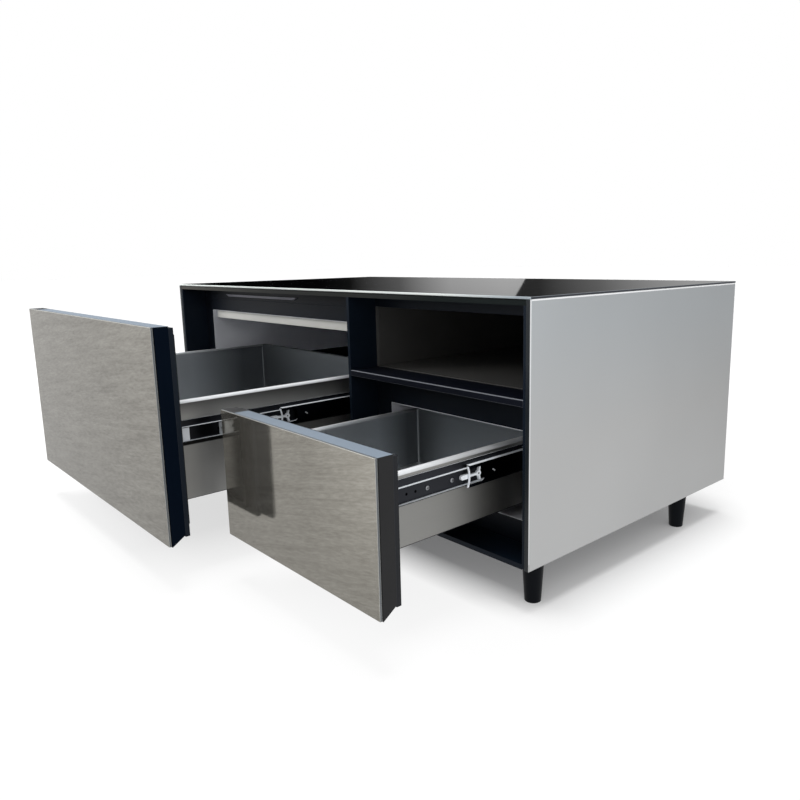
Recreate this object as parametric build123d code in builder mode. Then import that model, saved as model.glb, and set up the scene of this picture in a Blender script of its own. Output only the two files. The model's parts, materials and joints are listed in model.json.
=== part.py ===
from build123d import *
import os

# A low table that is also a refrigerator: a steel-clad cabinet on four legs with a
# black glass top, a wide cold drawer on the left, an open niche on the right and a
# narrower cold drawer under it, with the cooling unit behind that drawer.
# Millimetres. X runs left to right, Y from front to back, Z up. The origin is on the
# floor, in the middle of the part's footprint with both drawers open as they rest.

os.makedirs("parts", exist_ok=True)

# Cabinet sizes. Heights called "up" are above the underside of the cabinet.
cabinet_width = 1300.0
cabinet_depth = 694.0
carcass_up = 436.0
top_thickness = 10.0
glass_thickness = 4.0
glass_chamfer = 0.8
leg_height = 77.0
side_thickness = 16.0
skin_sheet = 1.2
skin_return = 10.0
skin_bend = 2.0
base_thickness = 9.0
back_sheet = 1.2
back_setback = 3.8
divider_thickness = 8.0
right_bay_width = 460.0
shelf_up = 287.0
shelf_thickness = 12.0
shelf_chamfer = 1.5
recess_depth = 70.0
frame_thickness = 20.0
fit_gap = 0.3
fine_gap = 0.05

# Bays, the lined boxes that the drawers close into
left_stile = 43.0
right_stile_inner = 46.0
right_stile_outer = 54.0
bay_floor_up = 52.0
left_liner_height = 322.0
right_liner_height = 162.0
liner_sheet = 1.0
evaporator_depth = 12.0
left_rear_foam = 30.0
right_rear_foam = 30.0
tube_row_pitch = 24.0
header_height = 35.0
light_height = 21.0
light_depth = 18.0
light_setback = 10.0
light_round = 6.0
strip_length = 370.0
strip_start = 151.0
strip_up = 416.0
strip_height = 6.0
strip_depth = 3.0

# Niche
niche_side_board = 9.0
niche_floor_sheet = 1.5
niche_ceiling_up = 413.0
niche_rear_gap = 59.0

# Drawer fronts
left_open = 414.0
right_open = 307.0
front_inset = 17.0
front_foot_up = 14.0
left_front_height = 390.5
right_front_height = 236.0
outer_reveal = 9.0
left_divider_reveal = 6.0
right_divider_reveal = 2.3
plate_thickness = 4.5
casing_depth = 27.0
casing_wall = 2.5
cover_thickness = 8.5
cover_top_step = 3.0
cover_side_step = 0.5
cover_foot_step = 11.0
bevel_tip_depth = 2.0
bevel_tip_drop = 2.0
bevel_depth = 26.0
bevel_rise = 14.0
gasket_width = 9.0
gasket_offset = 3.0
gasket_base = 2.5
gasket_neck = 4.0
gasket_neck_inset = 2.5
gasket_head = 4.0

# Drawer boxes: folded sheet walls, hollow and open below, that stand on the floor plate
box_wall = 14.0
box_sheet = 1.0
box_rim_round = 5.5
box_rear_gap = 11.0
left_box_up = 76.0
left_box_height = 187.0
right_box_up = 79.0
right_box_height = 119.0
right_back_rise = 6.0
back_corner_round = 22.0

# Slides: a cabinet, a middle and a drawer member on each side of each drawer
slide_thickness = 12.7
slide_sheet = 1.2
cabinet_member_height = 45.7
middle_member_height = 37.2
drawer_member_height = 28.0
slide_bend = 1.0
cabinet_member_lip = 8.2
middle_member_start = 2.9
middle_member_end = 10.5
drawer_member_lip = 6.9
left_slide_up = 201.0
right_slide_up = 162.0
left_slide_rear_gap = 26.0
right_slide_rear_gap = 30.0
cabinet_member_setback = 72.0
left_middle_setback = 73.5
right_middle_setback = 91.5
drawer_member_setback = 61.0
middle_member_short = 10.0
bracket_rise = 12.0
notch_depth = 36.0
notch_height = 25.0
notch_round = 9.0
middle_share = 0.5
outer_cage_share = 0.25
inner_cage_share = 0.75
cage_length_share = 0.42
cage_sheet = 0.8
ball_pitch = 30.0
slide_hole_radius = 2.2
left_hole_start = 87.0
right_hole_start = 57.0
slide_hole_pitch = 18.0
slide_screw_steps = (42.0, 95.0)
slide_screw_rear_offset = 30.0
slide_screw_head = 4.0
slide_screw_head_depth = 1.8
slide_screw_shank = 2.0
slide_screw_length = 10.0
lever_pin_radius = 1.5
lever_thickness = 4.5
lever_setback = 0.6
lever_hub = 5.0
lever_arm_reach = 11.3
lever_arm_width = 3.6
lever_arm_sweep = 3.0
lever_tab_length = 20.0
lever_tab_height = 8.0
lever_tab_distance = 31.0
lever_neck_height = 4.0
left_lever_offset = 234.0
right_lever_offset = 209.0
bumper_width = 2.4
bumper_depth = 2.4
bumper_bulge = 4.0

# Legs and fasteners
leg_top_radius = 19.5
leg_foot_radius = 14.5
leg_foot_round = 2.0
leg_side_inset = 32.0
leg_front_inset = 50.0
leg_rear_inset = 153.0
stud_radius = 4.0
stud_length = 8.0
panel_screw_radius = 1.5
panel_screw_length = 14.0
panel_screw_head = 3.8
panel_screw_head_depth = 2.2
panel_screw_spacing = 210.0
panel_screw_margin = 60.0
divider_screw_count = 3

# Cooling unit, behind the right drawer
unit_depth = 196.0
compressor_radius = 58.0
compressor_height = 150.0
compressor_dome = 24.0
compressor_foot_round = 14.0
compressor_seam = 3.0
compressor_seam_height = 6.0
compressor_side_inset = 105.0
compressor_plate_length = 156.0
compressor_plate_width = 124.0
compressor_plate_sheet = 3.0
foot_radius = 10.0
foot_height = 14.0
foot_margin = 14.0
terminal_depth = 22.0
terminal_width = 46.0
terminal_height = 54.0
condenser_depth = 44.0
condenser_width = 150.0
condenser_height = 190.0
condenser_side_inset = 22.0
fin_pitch = 8.0
fin_sheet = 0.8
coil_tube_radius = 3.5
coil_columns = 2
coil_rows = 6
coil_tail = 6.0
fan_radius = 58.0
fan_tip_gap = 3.0
fan_centre_up = 92.0
shroud_sheet = 2.0
shroud_side = 140.0
shroud_depth = 24.0
shroud_wall = 2.0
strut_width = 8.0
strut_sheet = 3.0
motor_radius = 17.0
motor_length = 28.0
shaft_radius = 2.0
hub_radius = 16.0
hub_length = 14.0
blade_sheet = 1.6
blade_chord = 22.0
blade_tilt = 32.0
blade_count = 5
pipe_radius = 3.0
pipe_bend = 14.0
pipe_lead = 42.0
pipe_wall_gap = 3.0
pipe_top_margin = 22.0
stub_length = 16.0
control_box_length = 110.0
control_box_depth = 48.0
control_box_height = 70.0
control_box_round = 3.0
inlet_width = 50.0
inlet_height = 30.0
inlet_flange = 2.0
inlet_body_width = 32.0
inlet_body_height = 24.0
inlet_body_depth = 24.0
socket_width = 26.0
socket_height = 18.0
socket_depth = 17.0
socket_pin_width = 2.0
socket_pin_height = 4.0
socket_pin_spacing = 7.0
socket_pin_length = 14.0
inlet_up = 160.0
inlet_side_inset = 213.0
louvre_length = 66.0
louvre_height = 5.0
louvre_pitch = 14.0
louvre_rows = 12
louvre_first_up = 60.0
cut_overrun = 5.0

# Main planes of the cabinet
left_face = -cabinet_width / 2
right_face = cabinet_width / 2
reach = max(left_open, right_open) - front_inset
front_face = (reach - cabinet_depth) / 2
rear_face = front_face + cabinet_depth
under = leg_height
carcass_top = under + carcass_up
skin_top = carcass_top + top_thickness
base_top = under + base_thickness
left_inner = left_face + side_thickness
right_inner = right_face - side_thickness
carcass_front = front_face + skin_sheet
back_outer = rear_face - back_setback
back_inner = back_outer - back_sheet
divider_right = right_inner - right_bay_width
divider_left = divider_right - divider_thickness
recess = front_face + recess_depth
frame_rear = recess + frame_thickness
shelf_top = under + shelf_up
shelf_under = shelf_top - shelf_thickness
bay_floor = under + bay_floor_up
niche_ceiling = under + niche_ceiling_up
front_depth = plate_thickness + casing_depth + cover_thickness
cover_rear = front_inset + front_depth

# Insides of the two liners, and how far the slides in them run
right_foam_rear = back_inner - unit_depth
left_liner_rear = back_inner - left_rear_foam - evaporator_depth - liner_sheet
right_liner_rear = right_foam_rear - right_rear_foam - evaporator_depth - liner_sheet
left_liner_x = (left_inner + left_stile, divider_left - left_stile)
right_liner_x = (divider_right + right_stile_inner, right_inner - right_stile_outer)
left_liner_y = (recess, left_liner_rear)
right_liner_y = (recess, right_liner_rear)
left_liner_z = (bay_floor, bay_floor + left_liner_height)
right_liner_z = (bay_floor, bay_floor + right_liner_height)
left_travel = left_liner_rear - recess - left_slide_rear_gap
right_travel = right_liner_rear - recess - right_slide_rear_gap


def block(x, y, z, mode=Mode.ADD):
    """Adds a box to the piece being built; x, y and z are the pairs of its limits."""
    with Locations((sum(x) / 2, sum(y) / 2, sum(z) / 2)):
        Box(x[1] - x[0], y[1] - y[0], z[1] - z[0], mode=mode)


def rod_x(x, y, z, radius, mode=Mode.ADD):
    """Adds a round bar along X; x is the pair of its ends."""
    with Locations(Location((sum(x) / 2, y, z), (0, 90, 0))):
        Cylinder(radius, x[1] - x[0], mode=mode)


def rod_y(x, y, z, radius, mode=Mode.ADD):
    """Adds a round bar along Y; y is the pair of its ends."""
    with Locations(Location((x, sum(y) / 2, z), (90, 0, 0))):
        Cylinder(radius, y[1] - y[0], mode=mode)


def rod_z(x, y, z, radius, mode=Mode.ADD):
    """Adds a round bar along Z; z is the pair of its ends."""
    with Locations((x, y, sum(z) / 2)):
        Cylinder(radius, z[1] - z[0], mode=mode)


def grown(span, amount):
    """A pair of limits moved outwards by an amount at both ends."""
    return (span[0] - amount, span[1] + amount)


def save(piece, name):
    """Labels a finished piece and writes its STEP file."""
    piece.part.label = name
    export_step(piece.part, f"parts/{name}.step")


# Places of the screws that hold the back panel to the base, the top and the divider
screw_span = cabinet_width - 2 * panel_screw_margin
screw_gaps = round(screw_span / panel_screw_spacing)
screw_xs = [left_face + panel_screw_margin + screw_span * i / screw_gaps for i in range(screw_gaps + 1)]
divider_centre = (divider_left + divider_right) / 2
base_screws = [(x, (under + base_top) / 2) for x in screw_xs]
top_screws = [(x, carcass_top + top_thickness / 2) for x in screw_xs]
divider_screws = [
    (divider_centre, base_top + (carcass_top - base_top) * (i + 1 / 2) / divider_screw_count)
    for i in range(divider_screw_count)
]
panel_screws = base_screws + top_screws + divider_screws


def screw_holes(places, y):
    """Cuts the holes of back panel screws over the pair of depths y."""
    for x, z in places:
        rod_y(x, y, z, panel_screw_radius + fine_gap, Mode.SUBTRACT)


pilot = (back_inner - panel_screw_length, back_inner + cut_overrun)

# Side skins: steel trays, folded round the front, rear and bottom edges of the sides
with BuildPart() as side_skin_left:
    skin_y = (front_face, rear_face)
    block((left_face, left_face + skin_return), skin_y, (under, skin_top))
    block(
        (left_face + skin_sheet, left_face + skin_return + cut_overrun),
        grown(skin_y, -skin_sheet),
        (under + skin_sheet, skin_top + cut_overrun),
        Mode.SUBTRACT,
    )
    fillet(side_skin_left.edges().group_by(Axis.X)[0].sort_by(Axis.Z)[:-1], skin_bend)
save(side_skin_left, "side_skin_left")

with BuildPart() as side_skin_right:
    add(side_skin_left.part.mirror(Plane.YZ))
save(side_skin_right, "side_skin_right")

# Black boards inside the skins
with BuildPart() as inner_side_panels:
    block(
        (left_face + skin_sheet, left_inner),
        (carcass_front, back_inner),
        (under + skin_sheet, carcass_top),
    )
    mirror(about=Plane.YZ)
save(inner_side_panels, "inner_side_panels")

with BuildPart() as top_panel:
    block(
        (left_face + skin_sheet, right_face - skin_sheet),
        (carcass_front, back_inner),
        (carcass_top, skin_top),
    )
    screw_holes(top_screws, pilot)
save(top_panel, "top_panel")

with BuildPart() as glass_top:
    block((left_face, right_face), (front_face, rear_face), (skin_top, skin_top + glass_thickness))
    chamfer(glass_top.faces().sort_by(Axis.Z)[-1].edges(), glass_chamfer)
    chamfer(glass_top.faces().sort_by(Axis.Z)[0].edges(), glass_chamfer)
save(glass_top, "glass_top")

# Legs: each has a stud that goes up into the base
leg_ys = {"front": front_face + leg_front_inset, "rear": rear_face - leg_rear_inset}
leg_xs = {"left": left_face + leg_side_inset, "right": right_face - leg_side_inset}
leg_places = [(f"leg_{end}_{side}", leg_xs[side], leg_ys[end]) for end in leg_ys for side in leg_xs]

with BuildPart() as base_panel:
    block((left_inner, right_inner), (carcass_front, back_inner), (under, base_top))
    stud_hole_z = (under - cut_overrun, under + stud_length + fit_gap)
    for leg_name, leg_x, leg_y in leg_places:
        rod_z(leg_x, leg_y, stud_hole_z, stud_radius + fine_gap, Mode.SUBTRACT)
    screw_holes(base_screws, pilot)
save(base_panel, "base_panel")

for leg_name, leg_x, leg_y in leg_places:
    with BuildPart() as leg:
        with Locations((leg_x, leg_y, leg_height / 2)):
            Cone(leg_foot_radius, leg_top_radius, leg_height)
        fillet(leg.edges().sort_by(Axis.Z)[0], leg_foot_round)
        rod_z(leg_x, leg_y, (leg_height, leg_height + stud_length), stud_radius)
    save(leg, leg_name)

# Divider between the bays, and the shelf over the right drawer
with BuildPart() as centre_divider:
    block((divider_left, divider_right), (carcass_front, back_inner), (base_top, carcass_top))
    screw_holes(divider_screws, pilot)
save(centre_divider, "centre_divider")

with BuildPart() as niche_shelf:
    block((divider_right, right_inner), (carcass_front, back_inner), (shelf_under, shelf_top))
    chamfer(niche_shelf.faces().sort_by(Axis.Y)[0].edges().sort_by(Axis.Z)[-1], shelf_chamfer)
save(niche_shelf, "niche_shelf")

# Boards that line the niche: floor, ceiling, two sides and the back
niche_x = (divider_right, right_inner)
niche_y = (recess, back_inner - niche_rear_gap)
niche_inner_x = grown(niche_x, -niche_side_board)
niche_floor_top = shelf_top + niche_floor_sheet
with BuildPart() as niche_lining:
    block(niche_x, niche_y, (shelf_top, niche_floor_top))
    wall_z = (niche_floor_top + fit_gap, niche_ceiling - fit_gap)
    block((niche_x[0], niche_inner_x[0]), niche_y, wall_z)
    block((niche_inner_x[1], niche_x[1]), niche_y, wall_z)
    block(grown(niche_inner_x, -fit_gap), (niche_y[1] - niche_side_board, niche_y[1]), wall_z)
    block(niche_x, (frame_rear + fit_gap, niche_y[1]), (niche_ceiling, niche_ceiling + niche_side_board))
save(niche_lining, "niche_lining")

# Frame bars at the recess, round both bay mouths and over the niche
header_z = (left_liner_z[1] + liner_sheet + fit_gap, left_liner_z[1] + header_height)
frame_y = (recess, frame_rear)


def mouth_bars(bay_x, liner_x, top, liner_top):
    """Two stiles, a bottom rail and a top rail round one bay mouth."""
    opening = grown(liner_x, liner_sheet + fit_gap)
    block((bay_x[0], opening[0]), frame_y, (base_top, top))
    block((opening[1], bay_x[1]), frame_y, (base_top, top))
    block(grown(opening, -fit_gap), frame_y, (base_top, bay_floor - liner_sheet - fit_gap))
    block(grown(opening, -fit_gap), frame_y, (liner_top, top))


with BuildPart() as face_frame:
    mouth_bars((left_inner, divider_left), left_liner_x, carcass_top, header_z[1])
    mouth_bars(niche_x, right_liner_x, shelf_under, right_liner_z[1] + liner_sheet + fit_gap)
    block(niche_x, frame_y, (niche_ceiling, carcass_top))
save(face_frame, "face_frame")

header_x = grown(left_liner_x, liner_sheet)
with BuildPart() as header_panel:
    block(header_x, frame_y, grown(header_z, -fit_gap / 2))
save(header_panel, "header_panel")

# Slim light strip under the top, and the lamp inside the left bay
with BuildPart() as control_strip:
    strip_x = (left_face + strip_start, left_face + strip_start + strip_length)
    block(strip_x, (recess - strip_depth, recess), (under + strip_up, under + strip_up + strip_height))
    fillet(control_strip.faces().sort_by(Axis.Y)[0].edges().filter_by(Axis.Z), strip_depth / 2)
save(control_strip, "control_strip")

with BuildPart() as bay_light:
    light_y = (recess + light_setback, recess + light_setback + light_depth)
    block(grown(left_liner_x, -fit_gap), light_y, (left_liner_z[1] - light_height, left_liner_z[1]))
    fillet(bay_light.edges().filter_by(Axis.X).group_by(Axis.Z)[0].sort_by(Axis.Y)[-1], light_round)
save(bay_light, "bay_light")

# Liners: folded sheet boxes, open to the front
with BuildPart() as drawer_liners:
    for liner_x, liner_y, liner_z in (
        (left_liner_x, left_liner_y, left_liner_z),
        (right_liner_x, right_liner_y, right_liner_z),
    ):
        block(
            grown(liner_x, liner_sheet),
            (liner_y[0], liner_y[1] + liner_sheet),
            grown(liner_z, liner_sheet),
        )
        block(liner_x, (liner_y[0] - cut_overrun, liner_y[1]), liner_z, Mode.SUBTRACT)
save(drawer_liners, "drawer_liners")


# Foam boards between the liners and the cabinet
def foam_boards(bay_x, liner_x, liner_y, liner_z, top, rear):
    """Side, bottom, top and rear boards round one liner."""
    gap = fit_gap / 2
    inner_x = grown(liner_x, liner_sheet)
    inner_z = grown(liner_z, liner_sheet)
    board_y = (frame_rear + gap, rear)
    block((bay_x[0], inner_x[0]), board_y, (base_top, top))
    block((inner_x[1], bay_x[1]), board_y, (base_top, top))
    between = grown(inner_x, -fit_gap)
    block(between, board_y, (base_top, inner_z[0] - gap))
    block(between, board_y, (inner_z[1] + gap, top))
    rear_start = liner_y[1] + liner_sheet + evaporator_depth
    block(between, (rear_start, rear), grown(inner_z, -gap))


with BuildPart() as insulation:
    foam_boards(
        (left_inner, divider_left), left_liner_x, left_liner_y, left_liner_z, carcass_top, back_inner
    )
    foam_boards(niche_x, right_liner_x, right_liner_y, right_liner_z, shelf_under, right_foam_rear)
save(insulation, "insulation")

# Evaporator plates, each with its tube rows, between a liner and its rear board
with BuildPart() as evaporators:
    for liner_x, liner_y, liner_z in (
        (left_liner_x, left_liner_y, left_liner_z),
        (right_liner_x, right_liner_y, right_liner_z),
    ):
        plate_y = liner_y[1] + liner_sheet
        block(liner_x, (plate_y, plate_y + liner_sheet), liner_z)
        tube_y = plate_y + liner_sheet / 2 + pipe_radius
        rows = int((liner_z[1] - liner_z[0]) // tube_row_pitch)
        for row in range(rows):
            tube_z = liner_z[0] + (liner_z[1] - liner_z[0]) * (row + 1 / 2) / rows
            rod_x(grown(liner_x, -pipe_bend), tube_y, tube_z, pipe_radius)
save(evaporators, "evaporators")

# Cooling unit
unit_y = (right_foam_rear, back_inner)
unit_centre_y = sum(unit_y) / 2
compressor_x = divider_right + compressor_side_inset
plate_z = (base_top + foot_height, base_top + foot_height + compressor_plate_sheet)
can_z = (plate_z[1], plate_z[1] + compressor_height)
foot_places = [
    (
        compressor_x + sx * (compressor_plate_length / 2 - foot_margin),
        unit_centre_y + sy * (compressor_plate_width / 2 - foot_margin),
    )
    for sx in (-1, 1)
    for sy in (-1, 1)
]

seam_z = sum(can_z) / 2
stub_z = seam_z + compressor_radius / 2

with BuildPart() as compressor:
    rod_z(compressor_x, unit_centre_y, can_z, compressor_radius)
    fillet(compressor.edges().sort_by(Axis.Z)[-1], compressor_dome)
    fillet(compressor.edges().sort_by(Axis.Z)[0], compressor_foot_round)
    rod_z(
        compressor_x,
        unit_centre_y,
        (seam_z - compressor_seam_height / 2, seam_z + compressor_seam_height / 2),
        compressor_radius + compressor_seam,
    )
    half_length = compressor_plate_length / 2
    half_width = compressor_plate_width / 2
    block(
        (compressor_x - half_length, compressor_x + half_length),
        (unit_centre_y - half_width, unit_centre_y + half_width),
        plate_z,
    )
    terminal_x = compressor_x - compressor_radius
    block(
        (terminal_x - terminal_depth / 2, terminal_x + terminal_depth),
        (unit_centre_y - terminal_width / 2, unit_centre_y + terminal_width / 2),
        (seam_z - terminal_height - compressor_seam_height, seam_z - compressor_seam_height),
    )
    stub_reach = compressor_radius + stub_length
    rod_x((compressor_x, compressor_x + stub_reach), unit_centre_y, stub_z, pipe_radius)
    rod_y(compressor_x, (unit_centre_y - stub_reach, unit_centre_y), stub_z, pipe_radius)
save(compressor, "compressor")

with BuildPart() as compressor_feet:
    for foot_x, foot_y in foot_places:
        rod_z(foot_x, foot_y, (base_top, plate_z[0]), foot_radius)
save(compressor_feet, "compressor_feet")

condenser_x = (
    right_inner - condenser_side_inset - condenser_depth,
    right_inner - condenser_side_inset,
)
condenser_y = (unit_centre_y - condenser_width / 2, unit_centre_y + condenser_width / 2)
condenser_z = (base_top, base_top + condenser_height)
with BuildPart() as condenser:
    fins = int(condenser_width // fin_pitch)
    for fin in range(fins + 1):
        fin_y = condenser_y[0] + condenser_width * fin / fins
        block(condenser_x, (fin_y - fin_sheet / 2, fin_y + fin_sheet / 2), condenser_z)
    for row in range(coil_rows):
        tube_z = condenser_z[0] + condenser_height * (row + 1 / 2) / coil_rows
        for column in range(coil_columns):
            tube_x = condenser_x[0] + condenser_depth * (column + 1 / 2) / coil_columns
            rod_y(tube_x, grown(condenser_y, coil_tail), tube_z, coil_tube_radius)
        for end_y in grown(condenser_y, coil_tail):
            rod_x(grown(condenser_x, -condenser_depth / coil_columns / 2), end_y, tube_z, coil_tube_radius)
save(condenser, "condenser")

# Fan: the shroud stands against the condenser and carries the motor on struts
shroud_x = (condenser_x[0] - fit_gap - shroud_depth, condenser_x[0] - fit_gap)
fan_z = under + fan_centre_up
ring_inner = fan_radius + fan_tip_gap
ring_outer = ring_inner + shroud_wall
motor_x = (shroud_x[0] + strut_sheet - motor_length, shroud_x[0] + strut_sheet)
with BuildPart() as fan_shroud:
    half = shroud_side / 2
    block(
        (shroud_x[1] - shroud_sheet, shroud_x[1]),
        (unit_centre_y - half, unit_centre_y + half),
        (base_top, fan_z + half),
    )
    rod_x(shroud_x, unit_centre_y, fan_z, ring_outer)
    rod_x(grown(shroud_x, cut_overrun), unit_centre_y, fan_z, ring_inner, Mode.SUBTRACT)
    strut_x = (shroud_x[0], shroud_x[0] + strut_sheet)
    half_strut = strut_width / 2
    grip = ring_inner + shroud_wall / 2
    block(strut_x, (unit_centre_y - grip, unit_centre_y + grip), (fan_z - half_strut, fan_z + half_strut))
    block(strut_x, (unit_centre_y - half_strut, unit_centre_y + half_strut), (fan_z - grip, fan_z + grip))
    rod_x(strut_x, unit_centre_y, fan_z, motor_radius + shroud_wall)
    rod_x(grown(strut_x, cut_overrun), unit_centre_y, fan_z, motor_radius + fine_gap, Mode.SUBTRACT)
save(fan_shroud, "fan_shroud")

hub_x = (motor_x[1] + 2 * fit_gap, motor_x[1] + 2 * fit_gap + hub_length)
with BuildPart() as fan_motor:
    rod_x(motor_x, unit_centre_y, fan_z, motor_radius)
    rod_x((motor_x[1], hub_x[1]), unit_centre_y, fan_z, shaft_radius)
save(fan_motor, "fan_motor")

with BuildPart() as fan_rotor:
    rod_x(hub_x, unit_centre_y, fan_z, hub_radius)
    blade_length = fan_radius - hub_radius / 2
    with Locations(Location((sum(hub_x) / 2, unit_centre_y, fan_z), (0, 90, 0))):
        with PolarLocations(hub_radius / 2 + blade_length / 2, blade_count):
            Box(blade_length, blade_chord, blade_sheet, rotation=(blade_tilt, 0, 0))
    rod_x(grown(hub_x, cut_overrun), unit_centre_y, fan_z, shaft_radius + fine_gap, Mode.SUBTRACT)
save(fan_rotor, "fan_rotor")

# Refrigerant pipes: discharge to the condenser, and suction from the cold side
pipe_top = shelf_under - pipe_top_margin
discharge_start = compressor_x + stub_reach
condenser_mid = sum(condenser_x) / 2
suction_start = unit_centre_y - stub_reach
suction_y = right_foam_rear + pipe_wall_gap + pipe_radius
discharge = [
    (discharge_start, unit_centre_y, stub_z),
    (discharge_start + pipe_lead, unit_centre_y, stub_z),
    (discharge_start + pipe_lead, unit_centre_y, pipe_top),
    (condenser_mid, unit_centre_y, pipe_top),
    (condenser_mid, unit_centre_y, condenser_z[1]),
]
suction = [
    (compressor_x, suction_start, stub_z),
    (compressor_x, suction_y, stub_z),
    (compressor_x, suction_y, pipe_top),
    (divider_right, suction_y, pipe_top),
]
with BuildPart() as refrigerant_pipes:
    with BuildLine() as discharge_line:
        FilletPolyline(*discharge, radius=pipe_bend)
    with BuildSketch(Plane(discharge[0], z_dir=(1, 0, 0))):
        Circle(pipe_radius)
    sweep(path=discharge_line.line)
    with BuildLine() as suction_line:
        FilletPolyline(*suction, radius=min(pipe_bend, suction_start - suction_y - fit_gap))
    with BuildSketch(Plane(suction[0], z_dir=(0, -1, 0))):
        Circle(pipe_radius)
    sweep(path=suction_line.line)
save(refrigerant_pipes, "refrigerant_pipes")

# Electrics: a closed control box, and the mains inlet in the back panel
inlet_x = right_inner - inlet_side_inset
inlet_z = under + inlet_up
with BuildPart() as control_box:
    box_x = (inlet_x - control_box_length / 2, inlet_x + control_box_length / 2)
    box_y = (back_inner - control_box_depth - fit_gap, back_inner - fit_gap)
    block(box_x, box_y, (base_top, base_top + control_box_height))
    fillet(control_box.edges().filter_by(Axis.Z), control_box_round)
save(control_box, "control_box")

with BuildPart() as power_inlet:
    flange_y = (back_outer, back_outer + inlet_flange)
    half = inlet_width / 2
    block((inlet_x - half, inlet_x + half), flange_y, (inlet_z - inlet_height / 2, inlet_z + inlet_height / 2))
    half = inlet_body_width / 2
    body_y = (back_outer - inlet_body_depth, back_outer)
    body_z = (inlet_z - inlet_body_height / 2, inlet_z + inlet_body_height / 2)
    block((inlet_x - half, inlet_x + half), body_y, body_z)
    half = socket_width / 2
    socket_y = (flange_y[1] - socket_depth, flange_y[1] + cut_overrun)
    socket_z = (inlet_z - socket_height / 2, inlet_z + socket_height / 2)
    block((inlet_x - half, inlet_x + half), socket_y, socket_z, Mode.SUBTRACT)
    for step in (-1, 0, 1):
        pin_x = inlet_x + step * socket_pin_spacing
        block(
            (pin_x - socket_pin_width / 2, pin_x + socket_pin_width / 2),
            (socket_y[0] - socket_pin_width, socket_y[0] + socket_pin_length),
            (inlet_z - socket_pin_height / 2, inlet_z + socket_pin_height / 2),
        )
save(power_inlet, "power_inlet")

# Back panel, with two columns of air slots over the cooling unit
panel_x = grown((left_face + skin_sheet, right_face - skin_sheet), -fit_gap)
panel_y = (back_inner, back_outer)
louvre_xs = (condenser_mid - louvre_length / 2, compressor_x)
with BuildPart() as back_panel:
    block(panel_x, panel_y, (under + skin_sheet + fit_gap, skin_top))
    cut_y = grown(panel_y, cut_overrun)
    for louvre_x in louvre_xs:
        for row in range(louvre_rows):
            louvre_z = under + louvre_first_up + row * louvre_pitch
            half = louvre_length / 2
            block(
                (louvre_x - half, louvre_x + half),
                cut_y,
                (louvre_z, louvre_z + louvre_height),
                Mode.SUBTRACT,
            )
    half = inlet_body_width / 2 + fit_gap
    block((inlet_x - half, inlet_x + half), cut_y, grown(body_z, fit_gap), Mode.SUBTRACT)
    screw_holes(panel_screws, cut_y)
save(back_panel, "back_panel")

with BuildPart() as cabinet_screws:
    for screw_x, screw_z in panel_screws:
        rod_y(screw_x, (pilot[0] + fit_gap, back_outer + fine_gap), screw_z, panel_screw_radius)
        head_y = (back_outer, back_outer + panel_screw_head_depth)
        rod_y(screw_x, head_y, screw_z, panel_screw_head)
save(cabinet_screws, "cabinet_screws")


# Drawers. Each size below is given as the drawer rests, pulled out by its own amount.
def drawer_front(name, front_x, front_z, front_y):
    """Front plate, hollow casing and rear cover of one drawer."""
    plate_y = (front_y, front_y + plate_thickness)
    casing_rear = plate_y[1] + casing_depth
    with BuildPart() as plate:
        block(front_x, plate_y, front_z)
        chamfer(plate.faces().sort_by(Axis.Y)[0].edges(), glass_chamfer)
    save(plate, f"{name}_front_plate")

    tip_y = plate_y[1] + bevel_tip_depth
    tip_z = front_z[0] - bevel_tip_drop
    heel_y = tip_y + bevel_depth - bevel_tip_depth
    heel_z = tip_z + bevel_rise + bevel_tip_drop
    with BuildPart() as casing:
        with BuildSketch(Plane.YZ.offset(front_x[0])):
            with BuildLine():
                Polyline(
                    (plate_y[1], front_z[0]),
                    (tip_y, tip_z),
                    (heel_y, heel_z),
                    (casing_rear, heel_z),
                    (casing_rear, front_z[1]),
                    (plate_y[1], front_z[1]),
                    close=True,
                )
            make_face()
        extrude(amount=front_x[1] - front_x[0])
        block(
            grown(front_x, -casing_wall),
            (plate_y[1] + casing_wall, casing_rear + cut_overrun),
            (heel_z + casing_wall, front_z[1] - casing_wall),
            Mode.SUBTRACT,
        )
    save(casing, f"{name}_front_casing")

    with BuildPart() as cover:
        block(
            grown(front_x, -cover_side_step),
            (casing_rear, casing_rear + cover_thickness),
            (front_z[0] + cover_foot_step, front_z[1] - cover_top_step),
        )
    save(cover, f"{name}_rear_cover")


def gasket_ring(name, liner_x, liner_z, rear_y):
    """The seal round a bay mouth: a base, a narrow neck and a soft head."""
    inner_x = grown(liner_x, liner_sheet + gasket_offset)
    inner_z = grown(liner_z, liner_sheet + gasket_offset)
    bands = ((0, gasket_base), (gasket_neck_inset, gasket_neck), (0, gasket_head))
    start = rear_y
    with BuildPart() as ring:
        for inset, depth in bands:
            outer_x = grown(inner_x, gasket_width - inset)
            outer_z = grown(inner_z, gasket_width - inset)
            block(outer_x, (start, start + depth), outer_z)
            start += depth
        block(inner_x, (rear_y - cut_overrun, start + cut_overrun), inner_z, Mode.SUBTRACT)
        neck_y = (rear_y + gasket_base, rear_y + gasket_base + gasket_neck)
        neck_x = grown(inner_x, gasket_neck_inset)
        block(neck_x, neck_y, grown(inner_z, gasket_neck_inset), Mode.SUBTRACT)
    save(ring, f"{name}_gasket")


def hollow_wall(x, y, z_top, foot):
    """Cuts the inside of one drawer wall away, up to the height z_top."""
    block(grown(x, -box_sheet), grown(y, -box_sheet), (foot - cut_overrun, z_top), Mode.SUBTRACT)


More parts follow.
